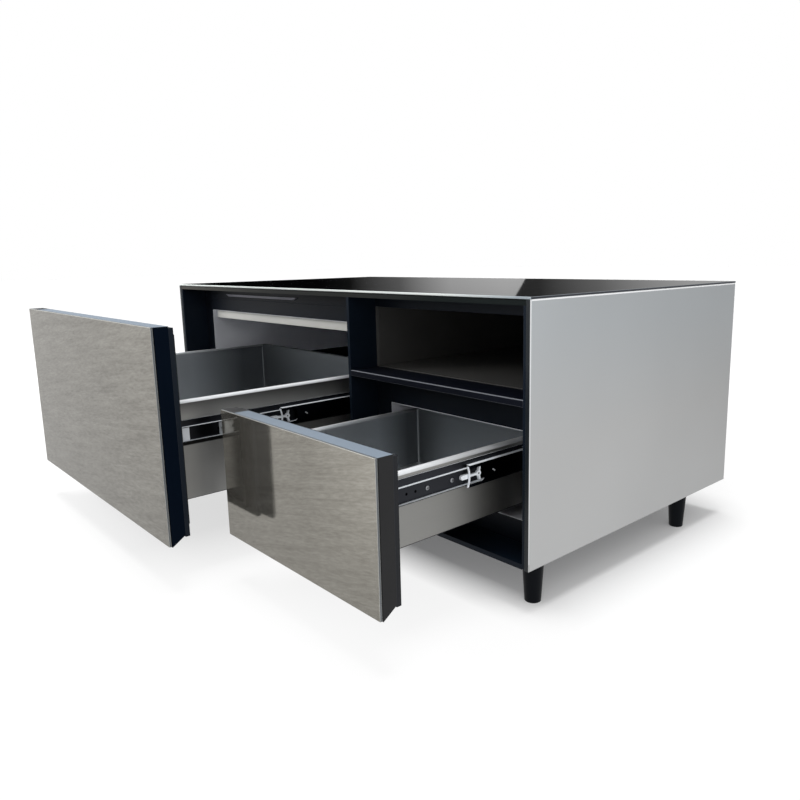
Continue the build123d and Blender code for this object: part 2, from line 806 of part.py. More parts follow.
def drawer_box(name, box_x, box_y, box_z, back_rise, slide_z, screw_ys):
    """Walls and floor of one drawer box."""
    inner_x = grown(box_x, -box_wall)
    foot = box_z[0] + box_sheet
    between = grown(inner_x, -fit_gap)
    back_y = (box_y[1] - box_wall, box_y[1])
    front_y = (box_y[0], box_y[0] + box_wall)
    back_top = box_z[1] + back_rise
    side_xs = ((box_x[0], inner_x[0]), (inner_x[1], box_x[1]))
    with BuildPart() as walls:
        for side_x in side_xs:
            block(side_x, box_y, (foot, box_z[1]))
        fillet(walls.edges().filter_by(Axis.Y).group_by(Axis.Z)[-1], box_rim_round)
        block(between, back_y, (foot, back_top))
        if back_rise > 0:
            fillet(walls.edges().filter_by(Axis.Y).group_by(Axis.Z)[-1], back_corner_round)
        block(between, front_y, (foot, box_z[1]))
        for side_x in side_xs:
            hollow_wall(side_x, box_y, box_z[1] - box_rim_round, foot)
        hollow_wall(between, front_y, box_z[1] - box_sheet, foot)
        back_solid = back_corner_round if back_rise > 0 else box_sheet
        hollow_wall(between, back_y, back_top - back_solid, foot)
        for screw_y in screw_ys:
            for side_x in box_x:
                rod_x(
                    (side_x - slide_screw_length, side_x + slide_screw_length),
                    screw_y,
                    slide_z,
                    slide_screw_shank + fine_gap,
                    Mode.SUBTRACT,
                )
    save(walls, f"{name}_box_walls")

    with BuildPart() as floor_plate:
        block(box_x, box_y, (box_z[0], foot))
    save(floor_plate, f"{name}_box_floor")


def channel(wall_x, side, depths, y, z, height):
    """A slide member: a web and two lips, at depths measured in from the bay wall.

    The web is at the first depth, and the lips reach to the second one.
    """
    web_x = sorted((wall_x + side * depths[0], wall_x + side * depths[1]))
    if depths[0] < depths[1]:
        hollow = (depths[0] + slide_sheet, depths[1] + cut_overrun)
    else:
        hollow = (depths[0] - slide_sheet, depths[1] - cut_overrun)
    hollow_x = sorted((wall_x + side * hollow[0], wall_x + side * hollow[1]))
    half = height / 2
    with BuildPart() as member:
        block(web_x, y, (z - half, z + half))
        corners = member.edges().filter_by(Axis.Y)
        near = corners.sort_by(Axis.X)
        web_first = (depths[0] < depths[1]) == (side > 0)
        fillet(near[:2] if web_first else near[-2:], slide_bend)
        block(hollow_x, grown(y, cut_overrun), (z - half + slide_sheet, z + half - slide_sheet), Mode.SUBTRACT)
    return member


def sides(liner_x):
    """The two bay walls with the direction that leads away from each."""
    return ((liner_x[0], 1), (liner_x[1], -1))


def drawer_members(liner_x, slide_z, y, hole_ys, screw_ys):
    """Drawer members of one pair of slides, with their mounting strips."""
    with BuildPart() as members:
        for wall_x, side in sides(liner_x):
            add(
                channel(
                    wall_x,
                    side,
                    (slide_thickness, slide_thickness - drawer_member_lip),
                    y,
                    slide_z,
                    drawer_member_height,
                ).part
            )
            web_depths = (slide_thickness - slide_sheet, slide_thickness)
            web_x = sorted(wall_x + side * depth for depth in web_depths)
            strip_z = slide_z + drawer_member_height / 2
            block(web_x, y, (strip_z - slide_bend, strip_z + bracket_rise))
            through = grown(web_x, slide_sheet)
            for hole_y in hole_ys:
                rod_x(through, hole_y, slide_z, slide_hole_radius, Mode.SUBTRACT)
            for screw_y in screw_ys:
                rod_x(through, screw_y, slide_z, slide_screw_shank + fine_gap, Mode.SUBTRACT)
    return members


def cage_strips(liner_x, slide_z, centre_y, length, outer_z, inner_z, depths):
    """Ball cages of one pair of slides, in the gaps between two members."""
    mid_z = (outer_z + inner_z) / 2
    ball = (outer_z - inner_z) / 2 - fit_gap
    balls = int(length // ball_pitch)
    with BuildPart() as cages:
        for wall_x, side in sides(liner_x):
            strip_x = sorted(wall_x + side * depth for depth in depths)
            for up in (-1, 1):
                strip_z = slide_z + up * mid_z
                block(
                    strip_x,
                    (centre_y - length / 2, centre_y + length / 2),
                    (strip_z - cage_sheet / 2, strip_z + cage_sheet / 2),
                )
                for number in range(balls):
                    ball_y = centre_y + (number - (balls - 1) / 2) * ball_pitch
                    with Locations((sum(strip_x) / 2, ball_y, strip_z)):
                        Sphere(ball)
    return cages


def release_lever(wall_x, side, lever_y, slide_z):
    """A white latch on the drawer member: hub, two arms and a finger tab in front."""
    pivot_depth = slide_thickness - slide_sheet - lever_setback
    lever_x = sorted((wall_x + side * pivot_depth, wall_x + side * (pivot_depth - lever_thickness)))
    with BuildPart() as lever:
        with BuildSketch(Plane.YZ.offset(lever_x[0])):
            with Locations((lever_y, slide_z)):
                Circle(lever_hub)
            for up in (-1, 1):
                with BuildLine():
                    Polyline(
                        (lever_y - lever_arm_width / 2, slide_z),
                        (lever_y + lever_arm_sweep - lever_arm_width / 2, slide_z + up * lever_arm_reach),
                        (lever_y + lever_arm_sweep + lever_arm_width / 2, slide_z + up * lever_arm_reach),
                        (lever_y + lever_arm_width / 2, slide_z),
                        close=True,
                    )
                make_face()
            with Locations((lever_y - lever_tab_distance / 2, slide_z)):
                Rectangle(lever_tab_distance, lever_neck_height)
            with Locations((lever_y - lever_tab_distance, slide_z)):
                SlotOverall(lever_tab_length, lever_tab_height)
        extrude(amount=lever_thickness)
        rod_x(grown(lever_x, cut_overrun), lever_y, slide_z, lever_pin_radius + fine_gap, Mode.SUBTRACT)
    return lever


def end_bumpers(liner_x, slide_z, end_y):
    """Curved white bumpers across the notched front ends of the middle members."""
    half = middle_member_height / 2 - slide_sheet
    with BuildPart() as bumpers:
        for wall_x, side in sides(liner_x):
            depths = (middle_member_start, middle_member_start + bumper_depth)
            bumper_x = sorted(wall_x + side * depth for depth in depths)
            with BuildSketch(Plane.YZ.offset(bumper_x[0])):
                with BuildLine():
                    ThreePointArc(
                        (end_y, slide_z - half), (end_y + bumper_bulge, slide_z), (end_y, slide_z + half)
                    )
                    Line((end_y, slide_z + half), (end_y - bumper_width, slide_z + half))
                    ThreePointArc(
                        (end_y - bumper_width, slide_z + half),
                        (end_y + bumper_bulge - bumper_width, slide_z),
                        (end_y - bumper_width, slide_z - half),
                    )
                    Line((end_y - bumper_width, slide_z - half), (end_y, slide_z - half))
                make_face()
            extrude(amount=bumper_depth)
    return bumpers


def drawer(
    name,
    front_x,
    front_z,
    liner_x,
    liner_z,
    liner_rear,
    box_z,
    back_rise,
    slide_z,
    opened,
    travel,
    middle_setback,
    hole_start,
    lever_offset,
):
    """Everything that moves with one drawer, and the moving parts of its slides."""
    drawer_front(name, front_x, front_z, front_face + front_inset - opened)
    gasket_ring(name, liner_x, liner_z, front_face + cover_rear - opened)

    box_x = grown(liner_x, -slide_thickness)
    box_y = (front_face + cover_rear - opened, liner_rear - box_rear_gap - opened)
    member_y = (
        front_face + drawer_member_setback - opened,
        front_face + drawer_member_setback - opened + travel,
    )
    first_hole_y = member_y[0] + hole_start
    hole_ys = (first_hole_y, first_hole_y + slide_hole_pitch)
    screw_ys = [first_hole_y + step for step in slide_screw_steps]
    screw_ys.append(member_y[1] - slide_screw_rear_offset)
    drawer_box(name, box_x, box_y, box_z, back_rise, slide_z, screw_ys)

    members = drawer_members(liner_x, slide_z, member_y, hole_ys, screw_ys)
    lever_y = member_y[0] + lever_offset
    web_depth = slide_thickness - slide_sheet
    pin_depths = (web_depth, web_depth - lever_setback - lever_thickness)
    with BuildPart() as pinned:
        add(members.part)
        for wall_x, side in sides(liner_x):
            rod_x(sorted(wall_x + side * depth for depth in pin_depths), lever_y, slide_z, lever_pin_radius)
    save(pinned, f"{name}_drawer_members")
    for label, (wall_x, side) in zip(("left", "right"), sides(liner_x)):
        save(release_lever(wall_x, side, lever_y, slide_z), f"{name}_lever_{label}")

    with BuildPart() as screws:
        for wall_x, side in sides(liner_x):
            web = wall_x + side * web_depth
            head_x = sorted((web, web - side * slide_screw_head_depth))
            shank_x = sorted((web, web + side * slide_screw_length))
            for screw_y in screw_ys:
                rod_x(head_x, screw_y, slide_z, slide_screw_head)
                rod_x(shank_x, screw_y, slide_z, slide_screw_shank)
    save(screws, f"{name}_slide_screws")

    middle_start = front_face + middle_setback - opened * middle_share
    middle_y = (middle_start, middle_start + travel - middle_member_short)
    with BuildPart() as middle:
        for wall_x, side in sides(liner_x):
            depths = (middle_member_start, middle_member_end)
            add(channel(wall_x, side, depths, middle_y, slide_z, middle_member_height).part)
            web_depths = (middle_member_start - slide_sheet, middle_member_start + 2 * slide_sheet)
            notch_x = sorted(wall_x + side * depth for depth in web_depths)
            with BuildSketch(Plane.YZ.offset(notch_x[0])):
                with Locations((middle_start, slide_z)):
                    RectangleRounded(2 * notch_depth, notch_height, notch_round)
            extrude(amount=notch_x[1] - notch_x[0], mode=Mode.SUBTRACT)
    save(middle, f"{name}_middle_members")
    bumper_end = middle_start - bumper_bulge / 2 - fit_gap
    save(end_bumpers(liner_x, slide_z, bumper_end), f"{name}_end_bumpers")

    cage_centre = front_face + cabinet_member_setback + travel / 2
    outer_lip = cabinet_member_height / 2 - slide_sheet
    middle_lip = middle_member_height / 2
    outer_depths = (middle_member_start + fit_gap, cabinet_member_lip - fit_gap)
    outer_cages = cage_strips(
        liner_x,
        slide_z,
        cage_centre - opened * outer_cage_share,
        travel * cage_length_share,
        outer_lip,
        middle_lip,
        outer_depths,
    )
    save(outer_cages, f"{name}_outer_cages")
    inner_lip = drawer_member_height / 2
    inner_depths = (slide_thickness - drawer_member_lip + fit_gap, middle_member_end - fit_gap)
    inner_cages = cage_strips(
        liner_x,
        slide_z,
        cage_centre - opened * inner_cage_share,
        travel * cage_length_share,
        middle_lip - slide_sheet,
        inner_lip,
        inner_depths,
    )
    save(inner_cages, f"{name}_inner_cages")


left_front_x = (left_inner + outer_reveal, divider_left - left_divider_reveal)
right_front_x = (divider_right + right_divider_reveal, right_inner - outer_reveal)
front_foot = under + front_foot_up
left_slide_z = under + left_slide_up
right_slide_z = under + right_slide_up

# Cabinet members of all four slides, fixed to the liner walls
with BuildPart() as slide_cabinet_members:
    for liner_x, slide_z, travel in (
        (left_liner_x, left_slide_z, left_travel),
        (right_liner_x, right_slide_z, right_travel),
    ):
        member_start = front_face + cabinet_member_setback
        for wall_x, side in sides(liner_x):
            add(
                channel(
                    wall_x,
                    side,
                    (0, cabinet_member_lip),
                    (member_start, member_start + travel),
                    slide_z,
                    cabinet_member_height,
                ).part
            )
save(slide_cabinet_members, "slide_cabinet_members")

drawer(
    "left",
    front_x=left_front_x,
    front_z=(front_foot, front_foot + left_front_height),
    liner_x=left_liner_x,
    liner_z=left_liner_z,
    liner_rear=left_liner_rear,
    box_z=(under + left_box_up, under + left_box_up + left_box_height),
    back_rise=0,
    slide_z=left_slide_z,
    opened=left_open,
    travel=left_travel,
    middle_setback=left_middle_setback,
    hole_start=left_hole_start,
    lever_offset=left_lever_offset,
)
drawer(
    "right",
    front_x=right_front_x,
    front_z=(front_foot, front_foot + right_front_height),
    liner_x=right_liner_x,
    liner_z=right_liner_z,
    liner_rear=right_liner_rear,
    box_z=(under + right_box_up, under + right_box_up + right_box_height),
    back_rise=right_back_rise,
    slide_z=right_slide_z,
    opened=right_open,
    travel=right_travel,
    middle_setback=right_middle_setback,
    hole_start=right_hole_start,
    lever_offset=right_lever_offset,
)
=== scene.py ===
"""Looks of a low table that is also a refrigerator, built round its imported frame. Metres."""

import json
import math

import bpy
import bmesh
from mathutils import Matrix, Vector


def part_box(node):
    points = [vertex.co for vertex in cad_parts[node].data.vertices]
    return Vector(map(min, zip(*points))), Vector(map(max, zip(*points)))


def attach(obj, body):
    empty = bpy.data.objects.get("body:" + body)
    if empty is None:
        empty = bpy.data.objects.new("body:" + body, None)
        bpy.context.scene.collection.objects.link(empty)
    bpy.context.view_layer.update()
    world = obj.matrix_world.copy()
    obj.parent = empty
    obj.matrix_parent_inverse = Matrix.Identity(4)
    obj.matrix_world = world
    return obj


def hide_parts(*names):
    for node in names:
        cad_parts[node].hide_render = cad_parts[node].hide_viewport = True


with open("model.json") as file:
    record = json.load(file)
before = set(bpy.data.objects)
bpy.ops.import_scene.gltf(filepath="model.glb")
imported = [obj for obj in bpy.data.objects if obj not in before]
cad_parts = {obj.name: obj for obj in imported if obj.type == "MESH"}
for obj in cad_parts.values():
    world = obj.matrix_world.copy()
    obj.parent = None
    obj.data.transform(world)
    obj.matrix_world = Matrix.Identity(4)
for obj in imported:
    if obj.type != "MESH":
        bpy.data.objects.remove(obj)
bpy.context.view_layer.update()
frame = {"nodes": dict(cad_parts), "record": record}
scene = bpy.context.scene
MM = 0.001


def add_object(name, data):
    """Puts an object for some data in the scene."""
    made = bpy.data.objects.new(name, data)
    scene.collection.objects.link(made)
    return made


# The camera of the photograph, fitted to the straight edges of the cabinet
PHOTO_SIZE = 800
FOCAL_PX = 699.37
CENTRE_PX = (430.33, 385.90)
SENSOR_WIDTH = 36.0
CAMERA_PLACE = (1.33934, -0.98463, 0.58770)
CAMERA_YAW = 47.776
CAMERA_PITCH = -10.353
CAMERA_ROLL = -1.02


def place_camera():
    """The photograph's viewpoint, with a small shift for its off-centre framing."""
    data = bpy.data.cameras.new("photo_camera")
    data.sensor_width = SENSOR_WIDTH
    data.lens = FOCAL_PX / PHOTO_SIZE * SENSOR_WIDTH
    data.shift_x = 0.5 - CENTRE_PX[0] / PHOTO_SIZE
    data.shift_y = CENTRE_PX[1] / PHOTO_SIZE - 0.5
    data.clip_start = 0.05
    camera = add_object("photo_camera", data)
    turn = Matrix.Rotation(math.radians(CAMERA_YAW), 4, "Z")
    tilt = Matrix.Rotation(math.radians(90 + CAMERA_PITCH), 4, "X")
    roll = Matrix.Rotation(math.radians(CAMERA_ROLL), 4, "Z")
    camera.matrix_world = Matrix.Translation(CAMERA_PLACE) @ turn @ tilt @ roll
    scene.camera = camera


place_camera()


# Helpers for shader nodes

BLACK = (0.0, 0.0, 0.0)
WHITE = (1.0, 1.0, 1.0)


class Graph:
    """Short names for making and linking nodes in one tree."""

    def __init__(self, tree):
        self.tree = tree

    def give(self, target, value):
        """Links a socket to an input, or sets the input to a value or a colour."""
        if isinstance(value, bpy.types.NodeSocket):
            self.tree.links.new(value, target)
        elif target.type == "RGBA":
            target.default_value = (*value, 1.0)
        else:
            target.default_value = value

    def feed(self, shader, **sockets):
        """Sets or links a shader's inputs, by labels with a low line for each space."""
        for label, value in sockets.items():
            self.give(shader.inputs[label.replace("_", " ")], value)

    def node(self, kind, inputs=None, **settings):
        """Adds a node, sets its properties, and sets or links its inputs."""
        made = self.tree.nodes.new(kind)
        for name, value in settings.items():
            setattr(made, name, value)
        for name, value in (inputs or {}).items():
            self.give(made.inputs[name], value)
        return made

    def math(self, operation, first, second=0.0):
        """The result of one sum on values or sockets."""
        return self.node("ShaderNodeMath", {0: first, 1: second}, operation=operation).outputs[0]

    def times(self, first, *others):
        """The product of values or sockets."""
        for other in others:
            first = self.math("MULTIPLY", first, other)
        return first

    def spread(self, value, low, high, start=0.0, end=1.0):
        """Maps a value between start and end to the range from low to high, and stops there."""
        places = {"Value": value, "From Min": start, "From Max": end, "To Min": low, "To Max": high}
        return self.node("ShaderNodeMapRange", places).outputs["Result"]

    def rise(self, value, start, end):
        """Goes from 0 to 1 as a value goes from start to end."""
        return self.spread(value, 0.0, 1.0, start, end)

    def fall(self, value, start, end):
        """Goes from 1 to 0 as a value goes from start to end."""
        return self.spread(value, 1.0, 0.0, start, end)

    def blend(self, factor, low, high):
        """A value between two others, each a number or a socket."""
        mix = self.node("ShaderNodeMix", {"Factor": factor}, data_type="FLOAT")
        self.give(mix.inputs[2], low)
        self.give(mix.inputs[3], high)
        return mix.outputs[0]

    def shade(self, factor, dark, light):
        """A colour between two others, each a colour or a socket."""
        mix = self.node("ShaderNodeMix", {"Factor": factor}, data_type="RGBA")
        self.give(mix.inputs[6], dark)
        self.give(mix.inputs[7], light)
        return mix.outputs[2]

    def dimmed(self, factor, color):
        """A colour times a factor."""
        return self.shade(factor, BLACK, color)

    def ramp(self, value, stops):
        """A colour that runs through stops of (value, colour)."""
        start, end = stops[0][0], stops[-1][0]
        made = self.node("ShaderNodeValToRGB", {"Fac": self.rise(value, start, end)})
        elements = made.color_ramp.elements
        while len(elements) < len(stops):
            elements.new(0.5)
        for element, (place, color) in zip(elements, stops):
            element.position = (place - start) / (end - start)
            element.color = (*color, 1.0)
        return made.outputs["Color"]

    def noise(self, place, scale, detail, roughness=0.5):
        """Soft noise over a place."""
        inputs = {"Vector": place, "Scale": scale, "Detail": detail, "Roughness": roughness}
        return self.node("ShaderNodeTexNoise", inputs).outputs["Fac"]

    def spot(self):
        """Where the surface is in its object."""
        return self.node("ShaderNodeTexCoord").outputs["Object"]

    def parts(self, vector):
        """The three parts of a vector."""
        return self.node("ShaderNodeSeparateXYZ", {0: vector}).outputs

    def place(self, axis):
        """Where the surface is along one axis of its object."""
        return self.parts(self.spot())[axis]

    def normal_along(self, axis):
        """The part of the surface's own normal along one axis, from -1 to 1."""
        return self.parts(self.node("ShaderNodeNewGeometry").outputs["True Normal"])[axis]


# Node groups that several materials share

# Scale, detail and roughness of the slow change
SLOW_SPECKLE = (9.0, 3.0, 0.55)
ROUNDED_FACE = (0.86, 0.98)


def shared_group(name, inputs, outputs, build):
    """A node group with named inputs and outputs; build returns the value for each output."""
    tree = bpy.data.node_groups.new(name, "ShaderNodeTree")
    kinds = {"float": "NodeSocketFloat", "vector": "NodeSocketVector"}
    for label, (kind, default) in inputs.items():
        socket = tree.interface.new_socket(label, in_out="INPUT", socket_type=kinds[kind])
        socket.default_value = default
    for label in outputs:
        tree.interface.new_socket(label, in_out="OUTPUT", socket_type=kinds["float"])
    graph = Graph(tree)
    entry = graph.node("NodeGroupInput")
    leave = graph.node("NodeGroupOutput")
    for label, socket in build(graph, entry.outputs).items():
        graph.give(leave.inputs[label], socket)
    return tree


def build_grain(graph, entry):
    """Fine lines along one direction, as brushing leaves on steel, with broad soft patches."""
    place = graph.spot()
    x, y, z = graph.parts(place)
    level = graph.math("SUBTRACT", z, graph.times(x, entry["Tilt"]))
    turned = graph.node("ShaderNodeCombineXYZ", {"X": x, "Y": y, "Z": level}).outputs[0]
    stretched = graph.node(
        "ShaderNodeVectorMath", {0: turned, 1: entry["Density"]}, operation="MULTIPLY"
    ).outputs[0]
    lines = graph.noise(stretched, 1.0, 3.0, 0.6)
    return {"Lines": lines, "Patches": graph.noise(place, entry["Patch Scale"], 2.0)}


def build_speckle(graph, entry):
    """A fine moulded or sprayed texture, with a slow change over the surface."""
    place = graph.spot()
    fine = graph.noise(place, entry["Scale"], 2.0)
    return {"Fine": fine, "Slow": graph.noise(place, *SLOW_SPECKLE)}


def build_edges(graph, entry):
    """Finds the narrow slanted faces that round a piece's edges off."""
    sizes = [graph.math("ABSOLUTE", graph.normal_along(axis)) for axis in "XYZ"]
    widest = graph.math("MAXIMUM", graph.math("MAXIMUM", sizes[0], sizes[1]), sizes[2])
    return {"Edge": graph.fall(widest, *ROUNDED_FACE)}


GRAIN_INPUTS = {
    "Density": ("vector", (20.0, 20.0, 900.0)),
    "Patch Scale": ("float", 3.0),
    "Tilt": ("float", 0.0),
}
GRAIN = shared_group("grain", GRAIN_INPUTS, ("Lines", "Patches"), build_grain)
SPECKLE = shared_group("speckle", {"Scale": ("float", 900.0)}, ("Fine", "Slow"), build_speckle)
# The rounded edges that the materials paint with a highlight
EDGES = shared_group("highlighted_edges", {}, ("Edge",), build_edges)


def grain_node(graph, density, patch=3.0, tilt=0.0):
    """The shared grain with its own line density and patch size, its lines rising along x."""
    inputs = {"Density": density, "Patch Scale": patch, "Tilt": tilt}
    return graph.node("ShaderNodeGroup", inputs, node_tree=GRAIN).outputs


def speckle_node(graph, scale):
    """The shared speckle at one scale."""
    return graph.node("ShaderNodeGroup", {"Scale": scale}, node_tree=SPECKLE).outputs


def edge_mask(graph):
    """Shows where a piece's rounded edges are, which the materials paint with a highlight."""
    return graph.node("ShaderNodeGroup", node_tree=EDGES).outputs["Edge"]


# Materials

# A face counts as turned a way between two shares of its normal along that way
UPWARD = (0.5, 0.8)
FLAT_UPWARD = (0.7, 0.9)
FORWARD = (-0.6, -0.4)

METAL_CONTRAST = 0.05
METAL_UNEVEN = 0.06
METAL_RELIEF = (0.12, 0.02 * MM)
MOULDED_UNEVEN = 0.05
MOULDED_DEPTH = 0.1 * MM
SKIN_GRAIN = (30.0, 12.0, 1400.0)


def material(name, **sockets):
    """A Principled material with some inputs set; returns it with its graph and shader."""
    made = bpy.data.materials.new(name)
    made.use_nodes = True
    graph = Graph(made.node_tree)
    shader = made.node_tree.nodes["Principled BSDF"]
    graph.feed(shader, **sockets)
    return made, graph, shader


def bumped(graph, shader, height, strength, distance):
    """Feeds a height to the shader's normal."""
    inputs = {"Strength": strength, "Distance": distance, "Height": height}
    graph.feed(shader, Normal=graph.node("ShaderNodeBump", inputs).outputs["Normal"])


def varied(color, contrast):
    """A darker and a lighter copy of a colour."""
    return [c * (1 - contrast) for c in color], [c * (1 + contrast) for c in color]


def brushed(name, color, roughness, density, metallic=1.0, top_highlight=None):
    """Brushed or satin metal: grain in colour, roughness and bump, and upward faces painted pale
    and non-metallic as a highlight.
    """
    made, graph, shader = material(name, Metallic=metallic)
    grain = grain_node(graph, density)
    shown = graph.shade(grain["Patches"], *varied(color, METAL_CONTRAST))
    if top_highlight:
        upward = graph.rise(graph.normal_along("Z"), *UPWARD)
        shown = graph.shade(upward, shown, top_highlight)
        graph.feed(shader, Metallic=graph.blend(upward, metallic, 0.0))
    rough = graph.spread(grain["Lines"], roughness - METAL_UNEVEN, roughness + METAL_UNEVEN)
    graph.feed(shader, Base_Color=shown, Roughness=rough)
    bumped(graph, shader, grain["Lines"], *METAL_RELIEF)
    return made


WALL_GRAIN = (8.0, 8.0, 500.0)
WALL_PATCHES = (0.9, 1.1)
OUTER_ROUGHNESS = 0.44
INNER_ROUGHNESS = 0.32
WALL_UNEVEN = 0.12
# Painted light of the boxes: a paler lit colour for the inner faces, painted shade on the rear wall
# and the far rim, and a painted highlight on the rims
INNER_LIT_COLOR = (0.70, 0.74, 0.78)
REAR_WALL_SHADE = 0.36
SLIDE_SHADE_SHARE = 0.04
RIM_HIGHLIGHT = (0.86, 0.88, 0.9)
RIM_BOUNDS = (5.4 * MM, 4.32 * MM)
RIM_SHADE = (30.0 * MM, 6.0 * MM)
FAR_RIM_SHADE = (1.0, 0.3, 0.6, 0.9)
BOX_WALL = 14.0 * MM


def box_steel(side, top, color, outer, inner, rims, rim_shadow_share, slide_shade):
    """Steel of a drawer box: white rims up to the height top as painted highlights, and dark behind
    the slides as painted shadow.

    The outer faces, the inner faces and the rims each run from one share of their colour to
    another between two places along y, as painted shade towards the back of the cabinet. The
    inner faces are a paler, lit copy of the steel, with painted shade on the rear wall and the
    far rim. The outer faces keep a share of theirs under the rim as painted shadow, and the
    slides' painted shadow reaches a little below them.
    """
    low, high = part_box(f"{side}_box_walls")
    member_low, member_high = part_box(f"{side}_drawer_members")
    made, graph, shader = material(f"{side}_drawer_steel")
    grain = grain_node(graph, WALL_GRAIN)
    y, z = graph.place("Y"), graph.place("Z")
    offset = graph.math("SUBTRACT", graph.place("X"), (low.x + high.x) / 2)
    far_face = graph.fall(graph.times(offset, graph.normal_along("X")), -MM, MM)
    back = graph.fall(graph.normal_along("Y"), *FORWARD)
    inside = graph.math("MAXIMUM", far_face, back)
    below = graph.spread(z, 1.0, rim_shadow_share, *(top - drop for drop in RIM_SHADE))
    shade_low = member_low.z - slide_shade
    under = graph.spread(z, 1.0, SLIDE_SHADE_SHARE, shade_low - MM, shade_low + MM)
    above = graph.rise(z, member_high.z, member_high.z + MM)
    outward = graph.times(graph.spread(y, *outer), below, graph.math("MAXIMUM", under, above))
    within = graph.blend(back, graph.spread(y, *inner), REAR_WALL_SHADE)
    share = graph.blend(inside, outward, within)
    share = graph.times(share, graph.spread(grain["Patches"], *WALL_PATCHES))
    shown = graph.dimmed(share, graph.shade(inside, color, INNER_LIT_COLOR))
    half = (high.x - low.x) / 2 - BOX_WALL
    beside = graph.rise(graph.math("ABSOLUTE", offset), half - MM, half)
    rim = graph.rise(z, *(top - drop for drop in RIM_BOUNDS))
    rim = graph.times(rim, beside, graph.spread(far_face, *FAR_RIM_SHADE))
    rim_highlight_color = graph.dimmed(graph.spread(y, *rims), RIM_HIGHLIGHT)
    uneven = graph.times(grain["Lines"], WALL_UNEVEN)
    rough = graph.math("ADD", graph.blend(inside, OUTER_ROUGHNESS, INNER_ROUGHNESS), uneven)
    graph.feed(shader, Base_Color=graph.shade(rim, shown, rim_highlight_color), Roughness=rough)
    graph.feed(shader, Metallic=graph.blend(rim, 1.0, 0.0))
    bumped(graph, shader, grain["Lines"], *METAL_RELIEF)
    return made


BOTTOM_GRAIN = (8.0, 500.0, 8.0)
# Painted shade on the cut edges, then the steel's colour on the upward faces
BOTTOM_SHADE_AND_STEEL = ((0.03, 0.03, 0.032), (0.85, 0.86, 0.86))
BOTTOM_PATCHES = (0.92, 1.0, 0.3, 0.7)
BOTTOM_ROUGHNESS = (0.39, 0.51)


def bottom_steel():
    """Bright steel of the drawer boxes' bottoms, with painted shade darkening its cut edges."""
    made, graph, shader = material("drawer_floor_steel", Metallic=1.0)
    grain = grain_node(graph, BOTTOM_GRAIN)
    shown = graph.shade(graph.rise(graph.normal_along("Z"), *UPWARD), *BOTTOM_SHADE_AND_STEEL)
    shown = graph.dimmed(graph.spread(grain["Patches"], *BOTTOM_PATCHES), shown)
    rough = graph.spread(grain["Lines"], *BOTTOM_ROUGHNESS)
    graph.feed(shader, Base_Color=shown, Roughness=rough)
    bumped(graph, shader, grain["Lines"], *METAL_RELIEF)
    return made


# The skins' painted light: a cooler top as a painted sky reflection, painted shade to the rear and
# on the lips, and a painted highlight on the edges
SKIN_COLOR = (0.60, 0.605, 0.605)
SKIN_TOP_REFLECTION = (0.59, 0.62, 0.64)
SKIN_TOP = (0.28, 0.48)
SKIN_PATCHES = (0.94, 1.06)
SKIN_REAR_SHADE = (1.0, 0.87, -0.15, 0.55)
SKIN_ROUGHNESS = (0.3, 0.42)
LIP_SHADE = (0.004, 0.007, 0.010)
LIP_FACE = (-0.5, -0.1)
LIP_EDGE = (648.4 * MM, 648.6 * MM)
SKIN_EDGE_HIGHLIGHT = (0.85, 0.86, 0.87)
LINE_START = (90.0 * MM, 91.0 * MM)


def skin_steel():
    """Steel of the cabinet's sides: cooler at the top as a painted sky reflection, darker to the
    rear and black on the lips in front as painted shade, and bright edges as painted highlights.
    """
    made, graph, shader = material("satin_skin_steel")
    grain = grain_node(graph, SKIN_GRAIN)
    y, z = graph.place("Y"), graph.place("Z")
    shown = graph.shade(graph.rise(z, *SKIN_TOP), SKIN_COLOR, SKIN_TOP_REFLECTION)
    patchy = graph.spread(grain["Patches"], *SKIN_PATCHES)
    shown = graph.dimmed(graph.times(patchy, graph.spread(y, *SKIN_REAR_SHADE)), shown)
    line = graph.times(edge_mask(graph), graph.rise(z, *LINE_START))
    shown = graph.shade(line, shown, SKIN_EDGE_HIGHLIGHT)
    reach = graph.math("ABSOLUTE", graph.place("X"))
    lip = graph.times(graph.fall(graph.normal_along("Y"), *LIP_FACE), graph.fall(reach, *LIP_EDGE))
    rough = graph.spread(grain["Lines"], *SKIN_ROUGHNESS)
    graph.feed(shader, Base_Color=graph.shade(lip, shown, LIP_SHADE), Roughness=rough)
    graph.feed(shader, Metallic=graph.blend(lip, 1.0, 0.0))
    bumped(graph, shader, grain["Lines"], *METAL_RELIEF)
    return made


def moulded(
    name, color, roughness, scale=900.0, strength=0.1, contrast=0.12, specular=0.5, edge_highlight_color=None
):
    """Painted board or moulded plastic with a fine texture, and paler edges as a painted highlight.
    """
    made, graph, shader = material(name, Specular_IOR_Level=specular)
    speckle = speckle_node(graph, scale)
    shown = graph.shade(speckle["Slow"], *varied(color, contrast))
    if edge_highlight_color:
        shown = graph.shade(edge_mask(graph), shown, edge_highlight_color)
    rough = graph.spread(speckle["Slow"], roughness - MOULDED_UNEVEN, roughness + MOULDED_UNEVEN)
    graph.feed(shader, Base_Color=shown, Roughness=rough)
    bumped(graph, shader, speckle["Fine"], strength, MOULDED_DEPTH)
    return made


